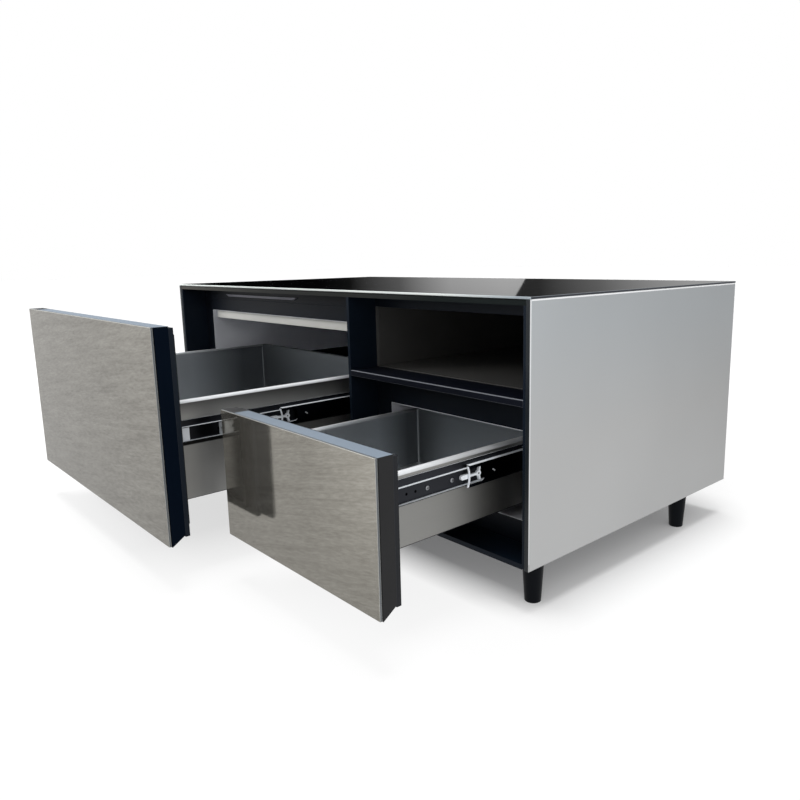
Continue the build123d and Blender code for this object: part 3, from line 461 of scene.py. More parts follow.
# Line densities of a front's broad and fine streaks, and their darkest and palest colour; the
# colour streaks are partly the plate's grain and partly a painted reflection of the ground
BROAD_STREAKS = (7.0, 7.0, 80.0)
FINE_STREAKS = (50.0, 50.0, 300.0)
FINE_SHARE = 0.55
STREAK_PATCH = 5.0
STREAK_COLORS = ((0.345, 0.32, 0.275), (0.655, 0.63, 0.56))
STREAK_RELIEF = (0.06, 0.2 * MM)
MIRROR_SHARE = 0.6
MIRROR_METAL = 0.84
MIRROR_ROUGHNESS = (0.03, 0.1)
PLATE_EDGE = (0.5, 0.95)
PLATE_BEVEL = (0.2, 0.5)
# Grey sides of the plate, and pale bevels as a painted highlight
PLATE_SIDES_AND_BEVEL_HIGHLIGHT = ((0.10, 0.11, 0.12), (0.55, 0.55, 0.52))
PLATE_EDGE_ROUGHNESS = 0.4
# Where the upper right corner's painted light starts, as a share of the plate's width
CORNER_START = 0.6


def tinted_front(side, low_share, top_light_gain, corner_light_gain, tilt, softness):
    """A mirror-like warm grey front plate, with grey edges and pale bevels as a painted highlight.

    It is paler towards its top and its upper right corner as painted light, and its streaks rise
    along x.
    """
    made, graph, shader = material(f"{side}_tinted_mirror")
    low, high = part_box(f"{side}_front_plate")
    upward = graph.rise(graph.place("Z"), low.z, high.z)
    corner_x = low.x * (1 - CORNER_START) + high.x * CORNER_START
    corner = graph.times(graph.rise(graph.place("X"), corner_x, high.x), upward, corner_light_gain)
    share = graph.math("ADD", graph.math("ADD", graph.times(upward, top_light_gain), low_share), corner)
    broad = grain_node(graph, BROAD_STREAKS, STREAK_PATCH, tilt)["Lines"]
    fine = grain_node(graph, FINE_STREAKS, STREAK_PATCH, tilt)["Lines"]
    streaks = graph.rise(graph.blend(FINE_SHARE, broad, fine), 0.5 - softness, 0.5 + softness)
    facing = graph.math("ABSOLUTE", graph.normal_along("Y"))
    edge = graph.fall(facing, *PLATE_EDGE)
    rim = graph.shade(graph.rise(facing, *PLATE_BEVEL), *PLATE_SIDES_AND_BEVEL_HIGHLIGHT)
    face = graph.dimmed(graph.times(share, MIRROR_SHARE), graph.shade(streaks, *STREAK_COLORS))
    rough = graph.blend(edge, graph.spread(streaks, *MIRROR_ROUGHNESS), PLATE_EDGE_ROUGHNESS)
    graph.feed(shader, Base_Color=graph.shade(edge, face, rim), Roughness=rough)
    graph.feed(shader, Metallic=graph.blend(edge, MIRROR_METAL, 0.0))
    bumped(graph, shader, streaks, *STREAK_RELIEF)
    return made


# The glass's colours on its face, at its sides, and on its ground edge at the left and right end:
# the ground edge is paler, with a painted highlight that fades along x, and the sides are dark as
# painted shade
GLASS_FACE = ((0.001, 0.001, 0.001), (0.002, 0.002, 0.003))
GLASS_SIDE_SHADE = (0.006, 0.010, 0.020)
GLASS_EDGE = ((0.66, 0.70, 0.68), (0.28, 0.32, 0.35))
GLASS_EDGE_FADE = (0.44, 0.62)
GLASS_FLAT = (0.9, 0.99)
GLASS_ROUGHNESS = (0.01, 0.05)
GLASS_EDGE_ROUGHNESS = 0.35


def black_glass():
    """Glossy black glass for the top: its ground edge is paler, with a painted highlight at front
    and rear that fades towards the right, and dark at the sides as painted shade.
    """
    made, graph, shader = material("black_glass", IOR=1.5)
    slow = speckle_node(graph, 260.0)["Slow"]
    edge = graph.fall(graph.normal_along("Z"), *GLASS_FLAT)
    sideways = graph.math("ABSOLUTE", graph.normal_along("X"))
    front = graph.shade(graph.rise(graph.place("X"), *GLASS_EDGE_FADE), *GLASS_EDGE)
    ground = graph.shade(sideways, front, GLASS_SIDE_SHADE)
    shown = graph.shade(edge, graph.shade(slow, *GLASS_FACE), ground)
    rough = graph.blend(edge, graph.spread(slow, *GLASS_ROUGHNESS), GLASS_EDGE_ROUGHNESS)
    graph.feed(shader, Base_Color=shown, Roughness=rough)
    return made


# A faint painted highlight on the rounded edges of black pieces
DARK_EDGE_HIGHLIGHT = (0.03, 0.035, 0.045)
# The casings' tops painted pale as a reflection of the sky, and how that fades in
PALE_TOP = (0.21, 0.255, 0.31)
PALE_TOP_FADE = 6.0 * MM
JOINT_SHARE = 0.25
JOINT_LINE = (1.4 * MM, 1.82 * MM)


def front_casing(side, color, specular, dark_end):
    """A drawer's casing: dark sides with painted highlights on their edges, a dark line behind the
    plate, and a top painted pale as a reflection of the sky.

    The painted reflection leaves the top dark over a length at its left end.
    """
    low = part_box(f"{side}_front_casing")[0]
    made, graph, shader = material(f"{side}_casing", Specular_IOR_Level=specular, Roughness=0.4)
    speckle = speckle_node(graph, 900.0)
    shown = graph.shade(speckle["Slow"], *varied(color, 0.12))
    shown = graph.shade(edge_mask(graph), shown, DARK_EDGE_HIGHLIGHT)
    line = (low.y + back for back in JOINT_LINE)
    shown = graph.dimmed(graph.spread(graph.place("Y"), JOINT_SHARE, 1.0, *line), shown)
    start = low.x + dark_end
    pale = graph.rise(graph.place("X"), start, start + PALE_TOP_FADE)
    pale = graph.times(pale, graph.rise(graph.normal_along("Z"), *FLAT_UPWARD))
    graph.feed(shader, Base_Color=graph.shade(pale, shown, PALE_TOP))
    bumped(graph, shader, speckle["Fine"], 0.1, MOULDED_DEPTH)
    return made


# The board under the glass shows in front, painted from olive at the left to near black at the
# right as painted light
BOARD_LIGHT_STOPS = (
    (-0.65, (0.050, 0.048, 0.042)),
    (-0.1, (0.019, 0.020, 0.019)),
    (0.3, (0.016, 0.018, 0.017)),
    (0.43, (0.006, 0.009, 0.009)),
    (0.65, (0.006, 0.009, 0.009)),
)
# A painted shadow line under the glass's edge
BOARD_SHADOW_LINE = (1.0, 0.3, 520.6 * MM, 521.0 * MM)
BOARD_PATCHES = (0.8, 1.2)


def top_board():
    """The board that carries the glass, with painted light along it and a painted shadow line under
    the glass's edge.
    """
    made, graph, shader = material("top_board", Specular_IOR_Level=0.1, Roughness=0.45)
    speckle = speckle_node(graph, 500.0)
    line = graph.spread(graph.place("Z"), *BOARD_SHADOW_LINE)
    line = graph.times(line, graph.spread(speckle["Slow"], *BOARD_PATCHES))
    shown = graph.dimmed(line, graph.ramp(graph.place("X"), BOARD_LIGHT_STOPS))
    graph.feed(shader, Base_Color=shown)
    bumped(graph, shader, speckle["Fine"], 0.05, MOULDED_DEPTH)
    return made


NICHE_COLORS = ((0.050, 0.050, 0.049), (0.080, 0.078, 0.075))
# Painted light on the niche's rear wall
NICHE_BACK_LIGHT = (0.10, 0.12, 0.13)
NICHE_BACK_FACE = (-0.9, -0.5)
NICHE_BACK_START = (0.2, 0.3)


def niche_laminate():
    """The niche's dark lining, painted a little paler on its rear wall as painted light."""
    made, graph, shader = material("niche_laminate", Specular_IOR_Level=0.2, Roughness=0.45)
    speckle = speckle_node(graph, 400.0)
    shown = graph.shade(speckle["Slow"], *NICHE_COLORS)
    back = graph.fall(graph.normal_along("Y"), *NICHE_BACK_FACE)
    back = graph.times(back, graph.rise(graph.place("Y"), *NICHE_BACK_START))
    graph.feed(shader, Base_Color=graph.shade(back, shown, NICHE_BACK_LIGHT))
    bumped(graph, shader, speckle["Fine"], 0.08, MOULDED_DEPTH)
    return made


def board(name, color, roughness, specular, edge_highlight_color):
    """Smooth laminate on a board, with paler edges as a painted highlight."""
    return moulded(name, color, roughness, 500.0, 0.05, 0.3, specular, edge_highlight_color)


# A painted highlight on the shelf's rounded edges
SHELF_EDGE_HIGHLIGHT = (0.16, 0.17, 0.19)
SLIDE_GRAIN = (40.0, 8.0, 40.0)
# A painted highlight on the upward faces of the slides
SLIDE_TOP_HIGHLIGHT = (0.80, 0.84, 0.88)
SLOTS = {
    "top_glass": black_glass(),
    "front_glass": tinted_front(
        "left", low_share=0.84, top_light_gain=0.2, corner_light_gain=0.2, tilt=0.14, softness=0.18
    ),
    "side_steel": brushed("satin_side_steel", (0.56, 0.57, 0.575), 0.36, SKIN_GRAIN),
    "black_board": board("black_laminate", (0.005, 0.009, 0.016), 0.4, 0.12, DARK_EDGE_HIGHLIGHT),
    "black_plastic": moulded(
        "black_moulding", (0.004, 0.006, 0.010), 0.42, specular=0.15, edge_highlight_color=DARK_EDGE_HIGHLIGHT
    ),
    "grey_plastic": moulded("grey_plastic", (0.36, 0.38, 0.4), 0.4),
    "white_plastic": moulded("white_slide_plastic", (0.86, 0.9, 0.95), 0.35, contrast=0.05),
    "liner_metal": brushed("liner_metal", (0.72, 0.73, 0.77), 0.5, (600.0, 600.0, 12.0), 0.25),
    "lamp_plastic": moulded("lamp_diffuser", (0.52, 0.52, 0.49), 0.45),
    "drawer_steel": bottom_steel(),
    "slide_steel": brushed(
        "slide_steel", (0.010, 0.012, 0.018), 0.3, SLIDE_GRAIN, top_highlight=SLIDE_TOP_HIGHLIGHT
    ),
    "screw_steel": brushed("screw_steel", (0.35, 0.36, 0.38), 0.3, (400.0, 400.0, 400.0)),
    "seal_rubber": moulded("seal_rubber", (0.012, 0.012, 0.013), 0.6, specular=0.3),
    "foam": moulded("yellow_foam", (0.62, 0.55, 0.33), 0.9, scale=300.0, strength=0.6),
    "leg_metal": moulded("leg_black", (0.003, 0.004, 0.006), 0.42, specular=0.08),
    "back_metal": moulded(
        "black_back", (0.012, 0.012, 0.014), 0.5, scale=700.0, strength=0.3, edge_highlight_color=DARK_EDGE_HIGHLIGHT
    ),
    "compressor_metal": moulded("compressor_enamel", (0.01, 0.01, 0.011), 0.3),
    "fin_aluminium": brushed("fin_aluminium", (0.6, 0.61, 0.62), 0.35, (40.0, 40.0, 900.0)),
    "pipe_copper": brushed("pipe_copper", (0.62, 0.30, 0.18), 0.25, (300.0, 300.0, 300.0)),
}
# A white finish that paints the highlight along the side skins' top edges
WHITE_HIGHLIGHT_LINE = brushed("painted_highlight_line", (0.9, 0.91, 0.92), 0.45, (12.0, 12.0, 900.0), 0.0)
# A black finish that paints the shade in the members' holes
HOLE_SHADE_BLACK = moulded("hole_painted_shade", (0.0006, 0.0007, 0.001), 0.9, specular=0.0)
MEMBER_STEEL = brushed(
    "member_steel", (0.034, 0.036, 0.042), 0.3, SLIDE_GRAIN, top_highlight=SLIDE_TOP_HIGHLIGHT
)
# The two boxes are one steel: their colours and shares differ as painted light and shade
BOX_STEEL = {
    "left": box_steel(
        "left",
        top=340.0 * MM,
        color=(0.43, 0.43, 0.42),
        outer=(1.0, 0.9, -0.5, -0.15),
        inner=(1.0, 0.24, -0.17, -0.01),
        rims=(1.0, 0.9, -0.5, -0.1),
        rim_shadow_share=0.35,
        slide_shade=8.0 * MM,
    ),
    "right": box_steel(
        "right",
        top=275.0 * MM,
        color=(0.35, 0.348, 0.335),
        outer=(1.0, 1.0, -0.35, -0.12),
        inner=(1.0, 0.25, -0.14, -0.06),
        rims=(1.0, 0.5, -0.35, -0.2),
        rim_shadow_share=1.0,
        slide_shade=2.0 * MM,
    ),
}


def cover(side, color):
    """The inner cover of a drawer's front."""
    return moulded(f"{side}_cover", color, 0.45, specular=0.12, edge_highlight_color=DARK_EDGE_HIGHLIGHT)


SKIN_STEEL = skin_steel()
NODE_FINISHES = {
    # The right casing and cover are painted paler than the left ones as painted light; each pair is
    # one plastic
    "left_front_casing": front_casing(
        "left", (0.0022, 0.005, 0.011), specular=0.015, dark_end=64.0 * MM
    ),
    "right_front_casing": front_casing(
        "right", (0.022, 0.022, 0.023), specular=0.12, dark_end=42.0 * MM
    ),
    "left_rear_cover": cover("left", (0.008, 0.012, 0.019)),
    "right_rear_cover": cover("right", (0.018, 0.019, 0.022)),
    "right_front_plate": tinted_front(
        "right", low_share=0.97, top_light_gain=0.1, corner_light_gain=0.55, tilt=0.22, softness=0.25
    ),
    "niche_lining": niche_laminate(),
    "niche_shelf": board("shelf_laminate", (0.004, 0.005, 0.009), 0.42, 0.1, SHELF_EDGE_HIGHLIGHT),
    "top_panel": top_board(),
    "control_strip": moulded("strip_lens", (0.15, 0.15, 0.185), 0.35),
    "side_skin_left": SKIN_STEEL,
    "side_skin_right": SKIN_STEEL,
    "left_drawer_members": MEMBER_STEEL,
    "right_drawer_members": MEMBER_STEEL,
    "left_box_walls": BOX_STEEL["left"],
    "right_box_walls": BOX_STEEL["right"],
}

NODE_SLOTS = {part["node"]: part["material_slot"] for part in frame["record"]["subparts"]}
for node_name, node in frame["nodes"].items():
    finish = NODE_FINISHES.get(node_name) or SLOTS[NODE_SLOTS[node_name]]
    node.material_slots[0].material = finish


# Softened edges on the large plates, boards and boxes

SHARP_ANGLE = math.radians(35)
WELD_GAP = 0.002 * MM
SOFTENED = {
    0.8 * MM: "side_skin_left side_skin_right",
    0.7 * MM: "left_front_plate right_front_plate",
    0.5 * MM: (
        "left_front_casing left_rear_cover left_box_walls right_front_casing right_rear_cover "
        "right_box_walls face_frame header_panel niche_shelf inner_side_panels base_panel "
        "top_panel bay_light"
    ),
    0.25 * MM: "glass_top drawer_liners control_strip",
}


def soften(node, width):
    """Rounds a node's sharp edges: its vertices are joined first, so that bevels meet."""
    weld = node.modifiers.new("join", "WELD")
    weld.merge_threshold = WELD_GAP
    bevel = node.modifiers.new("soft_edges", "BEVEL")
    bevel.limit_method = "ANGLE"
    bevel.angle_limit = SHARP_ANGLE
    bevel.width = width
    bevel.segments = 2
    bevel.harden_normals = True


for edge_width, node_names in SOFTENED.items():
    for node_name in node_names.split():
        soften(frame["nodes"][node_name], edge_width)


# Mesh helpers for new pieces

SMALL_EDGE = 0.3 * MM
TURN_STEPS = 40
# Keeps a divisor off zero
TINY = 0.001


def add_piece(name, mesh, slot, body, *replaced, finish=None):
    """Makes an object from a bmesh in its slot's or its own finish, riding on its body."""
    bmesh.ops.recalc_face_normals(mesh, faces=mesh.faces)
    data = bpy.data.meshes.new(name)
    mesh.to_mesh(data)
    mesh.free()
    data.materials.append(finish or SLOTS[slot])
    data.shade_smooth()
    data.set_sharp_from_angle(angle=SHARP_ANGLE)
    piece = add_object(name, data)
    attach(piece, body)
    if replaced:
        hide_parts(*replaced)


def round_edges(mesh, edges, width, segments=2):
    """Rounds some edges of a bmesh."""
    bmesh.ops.bevel(
        mesh, geom=edges, offset=width, segments=segments, profile=0.5, affect="EDGES", material=-1
    )


def add_block(mesh, low, high, width, segments=2):
    """A box between two corners, with rounded edges of a width."""
    size = Vector(high) - Vector(low)
    place = Matrix.Translation((Vector(low) + Vector(high)) / 2) @ Matrix.Diagonal((*size, 1.0))
    made = bmesh.ops.create_cube(mesh, size=1.0, matrix=place)["verts"]
    round_edges(mesh, list({edge for vert in made for edge in vert.link_edges}), width, segments)


def add_prism(mesh, outline, place, depth, width=0.0):
    """A flat outline of (u, v) points pushed along w by a depth, with softened rims."""
    verts = [mesh.verts.new(place @ Vector((u, v, 0.0))) for u, v in outline]
    base = mesh.faces.new(verts)
    made = bmesh.ops.extrude_face_region(mesh, geom=[base])["geom"]
    top = [item for item in made if isinstance(item, bmesh.types.BMVert)]
    shift = place.to_3x3() @ Vector((0.0, 0.0, depth))
    bmesh.ops.translate(mesh, verts=top, vec=shift)
    if width:
        ends = (set(verts), set(top))
        edges = {edge for vert in (*verts, *top) for edge in vert.link_edges}
        rims = [edge for edge in edges if any(set(edge.verts) <= end for end in ends)]
        round_edges(mesh, rims, width)


def add_ring(mesh, place, outline, level):
    """One closed ring of edges through (u, v) points at a height w; returns the edges."""
    made = bmesh.ops.create_circle(mesh, radius=1.0, segments=len(outline))["verts"]
    for vert, (u, v) in zip(made, outline):
        vert.co = place @ Vector((u, v, level))
    return list({edge for vert in made for edge in vert.link_edges})


def add_rings(mesh, place, rings, closed=False):
    """Bridges rings of (outline, w) in turn, and caps the ends of an open chain."""
    made = [add_ring(mesh, place, *ring) for ring in rings]
    pairs = list(zip(made, made[1:]))
    if closed:
        pairs.append((made[-1], made[0]))
    for lower, upper in pairs:
        bmesh.ops.bridge_loops(mesh, edges=lower + upper)
    if not closed:
        for end in (made[0], made[-1]):
            bmesh.ops.contextual_create(mesh, geom=end)


def circle(radius, steps=TURN_STEPS):
    """Points of a circle."""
    turns = [math.tau * i / steps for i in range(steps)]
    return [(radius * math.cos(turn), radius * math.sin(turn)) for turn in turns]


def looking(direction, place):
    """A place whose w axis points along a direction."""
    turn = Vector(direction).to_track_quat("Z", "Y").to_matrix().to_4x4()
    return Matrix.Translation(place) @ turn


def beside(place, outward):
    """A place on an upright side face: u runs back, v up, and w outwards along x."""
    turn = Matrix(((0, 0, outward, 0), (1, 0, 0, 0), (0, 1, 0, 0), (0, 0, 0, 1)))
    return Matrix.Translation(place) @ turn


def islands(node_name):
    """The lowest and highest corner of each separate solid in a CAD node."""
    mesh = bmesh.new()
    mesh.from_mesh(frame["nodes"][node_name].data)
    bmesh.ops.remove_doubles(mesh, verts=mesh.verts, dist=WELD_GAP)
    left = set(mesh.verts)
    boxes = []
    while left:
        reached = [left.pop()]
        for vert in reached:
            for edge in vert.link_edges:
                other = edge.other_vert(vert)
                if other in left:
                    left.remove(other)
                    reached.append(other)
        places = [vert.co for vert in reached]
        boxes.append([Vector([end(axis) for axis in zip(*places)]) for end in (min, max)])
    mesh.free()
    return sorted(boxes, key=lambda box: tuple(box[0]))


# Cross-recess screws of the slides and of the back panel

# Shares of the head's radius and height, from its seat to its recess
HEAD_PROFILE = ((1.0, 0.0), (1.0, 0.35), (0.93, 0.68), (0.78, 0.92), (0.62, 1.0))
RECESS_HALF_WIDTH = 0.12
RECESS_REACH = 0.52
RECESS_TAPER = 0.75
RECESS_FLOOR = 0.35


def cross_outline(half_width, reach):
    """Points of a plus-shaped recess, one for each step round the screw."""
    points = []
    for i in range(TURN_STEPS):
        angle = math.tau * i / TURN_STEPS
        folded = abs((angle + math.pi / 4) % (math.pi / 2) - math.pi / 4)
        side = half_width / max(math.sin(folded), TINY)
        radius = min(reach / math.cos(folded), side)
        points.append((radius * math.cos(angle), radius * math.sin(angle)))
    return points


def add_screw(mesh, place, head, height, shank, length):
    """A pan-head screw with a cross recess: w points out of the head, from its seat."""
    rings = [(circle(shank), level) for level in (-length, 0.0)]
    for share, level in HEAD_PROFILE:
        rings.append((circle(head * share), height * level))
    recess = cross_outline(head * RECESS_HALF_WIDTH, head * RECESS_REACH)
    bottom = [(u * RECESS_TAPER, v * RECESS_TAPER) for u, v in recess]
    add_rings(mesh, place, [*rings, (recess, height), (bottom, height * RECESS_FLOOR)])


SLIDE_SCREW_HEAD = (4.0 * MM, 1.8 * MM)
SLIDE_SCREW_SHANK = (2.0 * MM, 9.5 * MM)
BACK_SCREW_HEAD = (3.8 * MM, 2.2 * MM)
BACK_SCREW_SHANK = (1.5 * MM, 13.5 * MM)


def slide_screws(side):
    """Screws that hold the drawer members to the box."""
    name = f"{side}_slide_screws"
    centre = (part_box(name)[0].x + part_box(name)[1].x) / 2
    mesh = bmesh.new()
    for low, high in islands(name):
        middle = (low + high) / 2
        outward = 1.0 if middle.x > centre else -1.0
        end = high.x if outward > 0 else low.x
        place = looking((outward, 0, 0), (end - outward * SLIDE_SCREW_HEAD[1], middle.y, middle.z))
        add_screw(mesh, place, *SLIDE_SCREW_HEAD, *SLIDE_SCREW_SHANK)
    add_piece(f"{side}_slide_screw_set", mesh, "screw_steel", f"{side}_drawer", name)


def back_screws():
    """Screws of the back panel."""
    mesh = bmesh.new()
    for low, high in islands("cabinet_screws"):
        middle = (low + high) / 2
        place = looking((0, 1, 0), (middle.x, high.y - BACK_SCREW_HEAD[1], middle.z))
        add_screw(mesh, place, *BACK_SCREW_HEAD, *BACK_SCREW_SHANK)
    add_piece("back_panel_screws", mesh, "screw_steel", "cabinet", "cabinet_screws")


# Clips and tabs on the front ends of the left drawer's members

CLIP_BACK = 10.0 * MM
CLIP_LENGTH = 18.5 * MM
CLIP_THICKNESS = 3.5 * MM
CLIP_NOTCH = 3.5 * MM
NOTCH_DEGREES = range(80, -81, -20)
TAB_BACK = 88.0 * MM
TAB_HALF = 3.5 * MM
TAB_HOLE = 1.6 * MM
TAB_THICKNESS = 2.0 * MM
HOLE_STEPS = 24
MEMBER_HEIGHT = 28.0 * MM
SLIDE_SHEET = 1.2 * MM
FLANGE_GAP = 0.3 * MM


def web_places(side):
    """Places on the outer face of each drawer member's web: u runs back, v up, w out."""
    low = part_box(f"{side}_drawer_members")[0]
    box_low, box_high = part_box(f"{side}_box_walls")
    middle = low.z + MEMBER_HEIGHT / 2
    for face, outward in ((box_high.x + SLIDE_SHEET, 1.0), (box_low.x - SLIDE_SHEET, -1.0)):
        yield beside((face, low.y, middle), outward)


def add_holed_plate(mesh, place, half_width, half_height, hole, thickness):
    """A small rectangular plate with a round hole through its middle."""
    inner = circle(hole, HOLE_STEPS)
    outer = []
    for u, v in circle(1.0, HOLE_STEPS):
        reach = min(half_width / max(abs(u), TINY), half_height / max(abs(v), TINY))
        outer.append((u * reach, v * reach))
    rings = ((inner, 0.0), (outer, 0.0), (outer, thickness), (inner, thickness))
    add_rings(mesh, place, rings, closed=True)


def front_clips():
    """A notched white clip and a drilled tab on each of the left drawer's members."""
    clips = bmesh.new()
    tabs = bmesh.new()
    half = MEMBER_HEIGHT / 2 - SLIDE_SHEET - FLANGE_GAP
    turns = [math.radians(degrees) for degrees in NOTCH_DEGREES]
    notch = [(CLIP_NOTCH * math.cos(turn), CLIP_NOTCH * math.sin(turn)) for turn in turns]
    outline = [(0.0, half), *notch, (0.0, -half), (CLIP_LENGTH, -half), (CLIP_LENGTH, half)]
    for place in web_places("left"):
        clip_place = place @ Matrix.Translation((CLIP_BACK, 0, 0))
        add_prism(clips, outline, clip_place, CLIP_THICKNESS, SMALL_EDGE)
        tab_place = place @ Matrix.Translation((TAB_BACK + TAB_HALF, 0, 0))
        add_holed_plate(tabs, tab_place, TAB_HALF, half, TAB_HOLE, TAB_THICKNESS)
    add_piece("left_slide_clips", clips, "white_plastic", "left_drawer")
    add_piece("left_slide_tabs", tabs, "grey_plastic", "left_drawer")


# Painted shade in the depths of the drawer members' round holes

HOLE_STARTS = {"left": 87.0 * MM, "right": 57.0 * MM}
HOLE_PITCH = 18.0 * MM
HOLE_RADIUS = 2.3 * MM
HOLE_FILL = (-0.4 * MM, 0.46 * MM)
HOLE_EDGE = 0.1 * MM
DISC_STEPS = 20


def hole_shades(side):
    """Small black discs at the bottom of the round holes in the drawer members, as painted shade in
    the holes.
    """
    mesh = bmesh.new()
    level, rise = HOLE_FILL
    for place in web_places(side):
        for step in (0, 1):
            back = HOLE_STARTS[side] + HOLE_PITCH * step
            disc_place = place @ Matrix.Translation((back, 0, level))
            add_prism(mesh, circle(HOLE_RADIUS, DISC_STEPS), disc_place, rise, HOLE_EDGE)
    name = f"{side}_hole_shades"
    add_piece(name, mesh, "seal_rubber", f"{side}_drawer", finish=HOLE_SHADE_BLACK)


# Pressed stops on the middle members' outer faces

STOP_BACK = 57.0 * MM
STOP_HALF = (3.6 * MM, 1.2 * MM)
STOP_RISE = 0.6 * MM
STOP_TILT = math.radians(-35)
STOP_EDGE = 0.2 * MM


def member_stops(side):
    """A small tilted stop pressed out of each middle member behind its lever notch, in a pale grey
    that paints its highlight.
    """
    low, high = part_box(f"{side}_middle_members")
    middle = (low.z + high.z) / 2
    reach, rise = STOP_HALF
    outline = [(-reach, -rise), (reach, -rise), (reach, rise), (-reach, rise)]
    mesh = bmesh.new()
    for face, outward in ((high.x, 1.0), (low.x, -1.0)):
        place = beside((face, low.y + STOP_BACK, middle), outward)
        place = place @ Matrix.Rotation(STOP_TILT, 4, "Z")
        add_prism(mesh, outline, place, STOP_RISE, STOP_EDGE)
    add_piece(f"{side}_member_stops", mesh, "grey_plastic", f"{side}_middle")


# Folded corners inside the drawer boxes

FOLD_RADIUS = 4.0 * MM
FOLD_STEPS = 6
FOLD_DROP = 8.0 * MM


def box_folds(side):
    """Rounded folds up the four inner corners of a drawer box."""
    low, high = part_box(f"{side}_box_walls")
    base = Matrix.Translation((0, 0, low.z))
    mesh = bmesh.new()
    for x, to_x in ((low.x + BOX_WALL, 1.0), (high.x - BOX_WALL, -1.0)):
        for y, to_y in ((low.y + BOX_WALL, 1.0), (high.y - BOX_WALL, -1.0)):
            outline = [(x, y)]
            for step in range(FOLD_STEPS + 1):
                turn = math.pi / 2 * step / FOLD_STEPS
                u = x + to_x * FOLD_RADIUS * (1 - math.sin(turn))
                v = y + to_y * FOLD_RADIUS * (1 - math.cos(turn))
                outline.append((u, v))
            add_prism(mesh, outline, base, high.z - low.z - FOLD_DROP)
    name = f"{side}_box_corner_folds"
    add_piece(name, mesh, "drawer_steel", f"{side}_drawer", finish=BOX_STEEL[side])


# Trim of the cabinet: white lines on the side skins' top edges that paint their highlight, the
# strip's lens and the lamp's ends

HIGHLIGHT_LINE_HEIGHT = 2.6 * MM
HIGHLIGHT_LINE_PROUD = 0.4 * MM
HIGHLIGHT_LINE_INSET = 2.4 * MM
HIGHLIGHT_LINE_ROOT = 0.8 * MM
STRIP_TAPER = 16.0 * MM
STRIP_EDGE = 0.5 * MM
LAMP_END = 9.0 * MM
LAMP_PROUD = 0.5 * MM
LAMP_EDGE = 1.2 * MM


def skin_highlight_lines():
    """Rounded lines along the top edges of the two side skins, in a white finish that paints their
    highlight.
    """
    mesh = bmesh.new()
    for side, outward in (("left", -1.0), ("right", 1.0)):
        low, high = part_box(f"side_skin_{side}")
        face = high.x if outward > 0 else low.x
        ends = sorted((face - outward * HIGHLIGHT_LINE_ROOT, face + outward * HIGHLIGHT_LINE_PROUD))
        start = (ends[0], low.y + HIGHLIGHT_LINE_INSET, high.z - HIGHLIGHT_LINE_HEIGHT)
        add_block(mesh, start, (ends[1], high.y - HIGHLIGHT_LINE_INSET, high.z), SMALL_EDGE)
    add_piece("side_skin_highlight_line", mesh, "side_steel", "cabinet", finish=WHITE_HIGHLIGHT_LINE)


def strip_lens():
    """The slim light strip under the rim, its ends cut at a slant."""
    low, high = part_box("control_strip")
    width = high.x - low.x
    height = high.z - low.z
    outline = [(0, height), (STRIP_TAPER, 0), (width - STRIP_TAPER, 0), (width, height)]
    place = Matrix.Translation((low.x, high.y, low.z)) @ Matrix.Rotation(math.pi / 2, 4, "X")
    mesh = bmesh.new()
    add_prism(mesh, outline, place, high.y - low.y, STRIP_EDGE)
    finish = NODE_FINISHES["control_strip"]
    add_piece("strip_lens", mesh, "lamp_plastic", "cabinet", "control_strip", finish=finish)


def lamp_ends():
    """Bluish grey caps on the two ends of the bay lamp."""
    low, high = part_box("bay_light")
    mesh = bmesh.new()
    for start, end in ((low.x, low.x + LAMP_END), (high.x - LAMP_END, high.x)):
        base = Vector((start, low.y - LAMP_PROUD, low.z - LAMP_PROUD))
        add_block(mesh, base, (end, high.y, high.z), LAMP_EDGE, 3)
    add_piece("bay_lamp_ends", mesh, "grey_plastic", "cabinet")


# Back of the cabinet: hoods over the air slots, stiffening beads and the pins of the inlet

SLOT_CENTRES = (279.0 * MM, 557.0 * MM)
SLOT_WIDTH = 66.0 * MM
SLOT_ROWS = 12
SLOT_PITCH = 14.0 * MM
SLOT_LOW = 137.0 * MM
HOOD_LEVEL = 3.0 * MM
HOOD_MARGIN = 2.0 * MM
HOOD_REACH = 2.8 * MM
HOOD_RISE = 4.2 * MM
HOOD_SHEET = 0.6 * MM
HOOD_STEPS = (20, 10)


def cut_away(mesh, made, point, normal):
    """Cuts off the part beyond a plane of the shape that some vertices belong to."""
    verts = [vert for vert in made if vert.is_valid]
    faces = list({face for vert in verts for face in vert.link_faces})
    edges = list({edge for face in faces for edge in face.edges})
    bmesh.ops.bisect_plane(
        mesh, geom=verts + edges + faces, plane_co=point, plane_no=normal, clear_outer=True
    )


def louvre_hoods():
    """Pressed hoods over the air slots, open below."""
    mesh = bmesh.new()
    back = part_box("back_panel")[1].y
    size = Matrix.Diagonal((SLOT_WIDTH / 2 + HOOD_MARGIN, HOOD_REACH, HOOD_RISE, 1.0))
    around, upward = HOOD_STEPS
    for centre in SLOT_CENTRES:
        for row in range(SLOT_ROWS):
            level = SLOT_LOW + SLOT_PITCH * row + HOOD_LEVEL
            place = Matrix.Translation((centre, back, level)) @ size
            made = bmesh.ops.create_uvsphere(
                mesh, u_segments=around, v_segments=upward, radius=1.0, matrix=place
            )["verts"]
            for normal in ((0, -1, 0), (0, 0, -1)):
                cut_away(mesh, made, (centre, back, level), normal)
    bmesh.ops.solidify(mesh, geom=mesh.faces, thickness=HOOD_SHEET)
    add_piece("back_louvre_hoods", mesh, "back_metal", "cabinet")


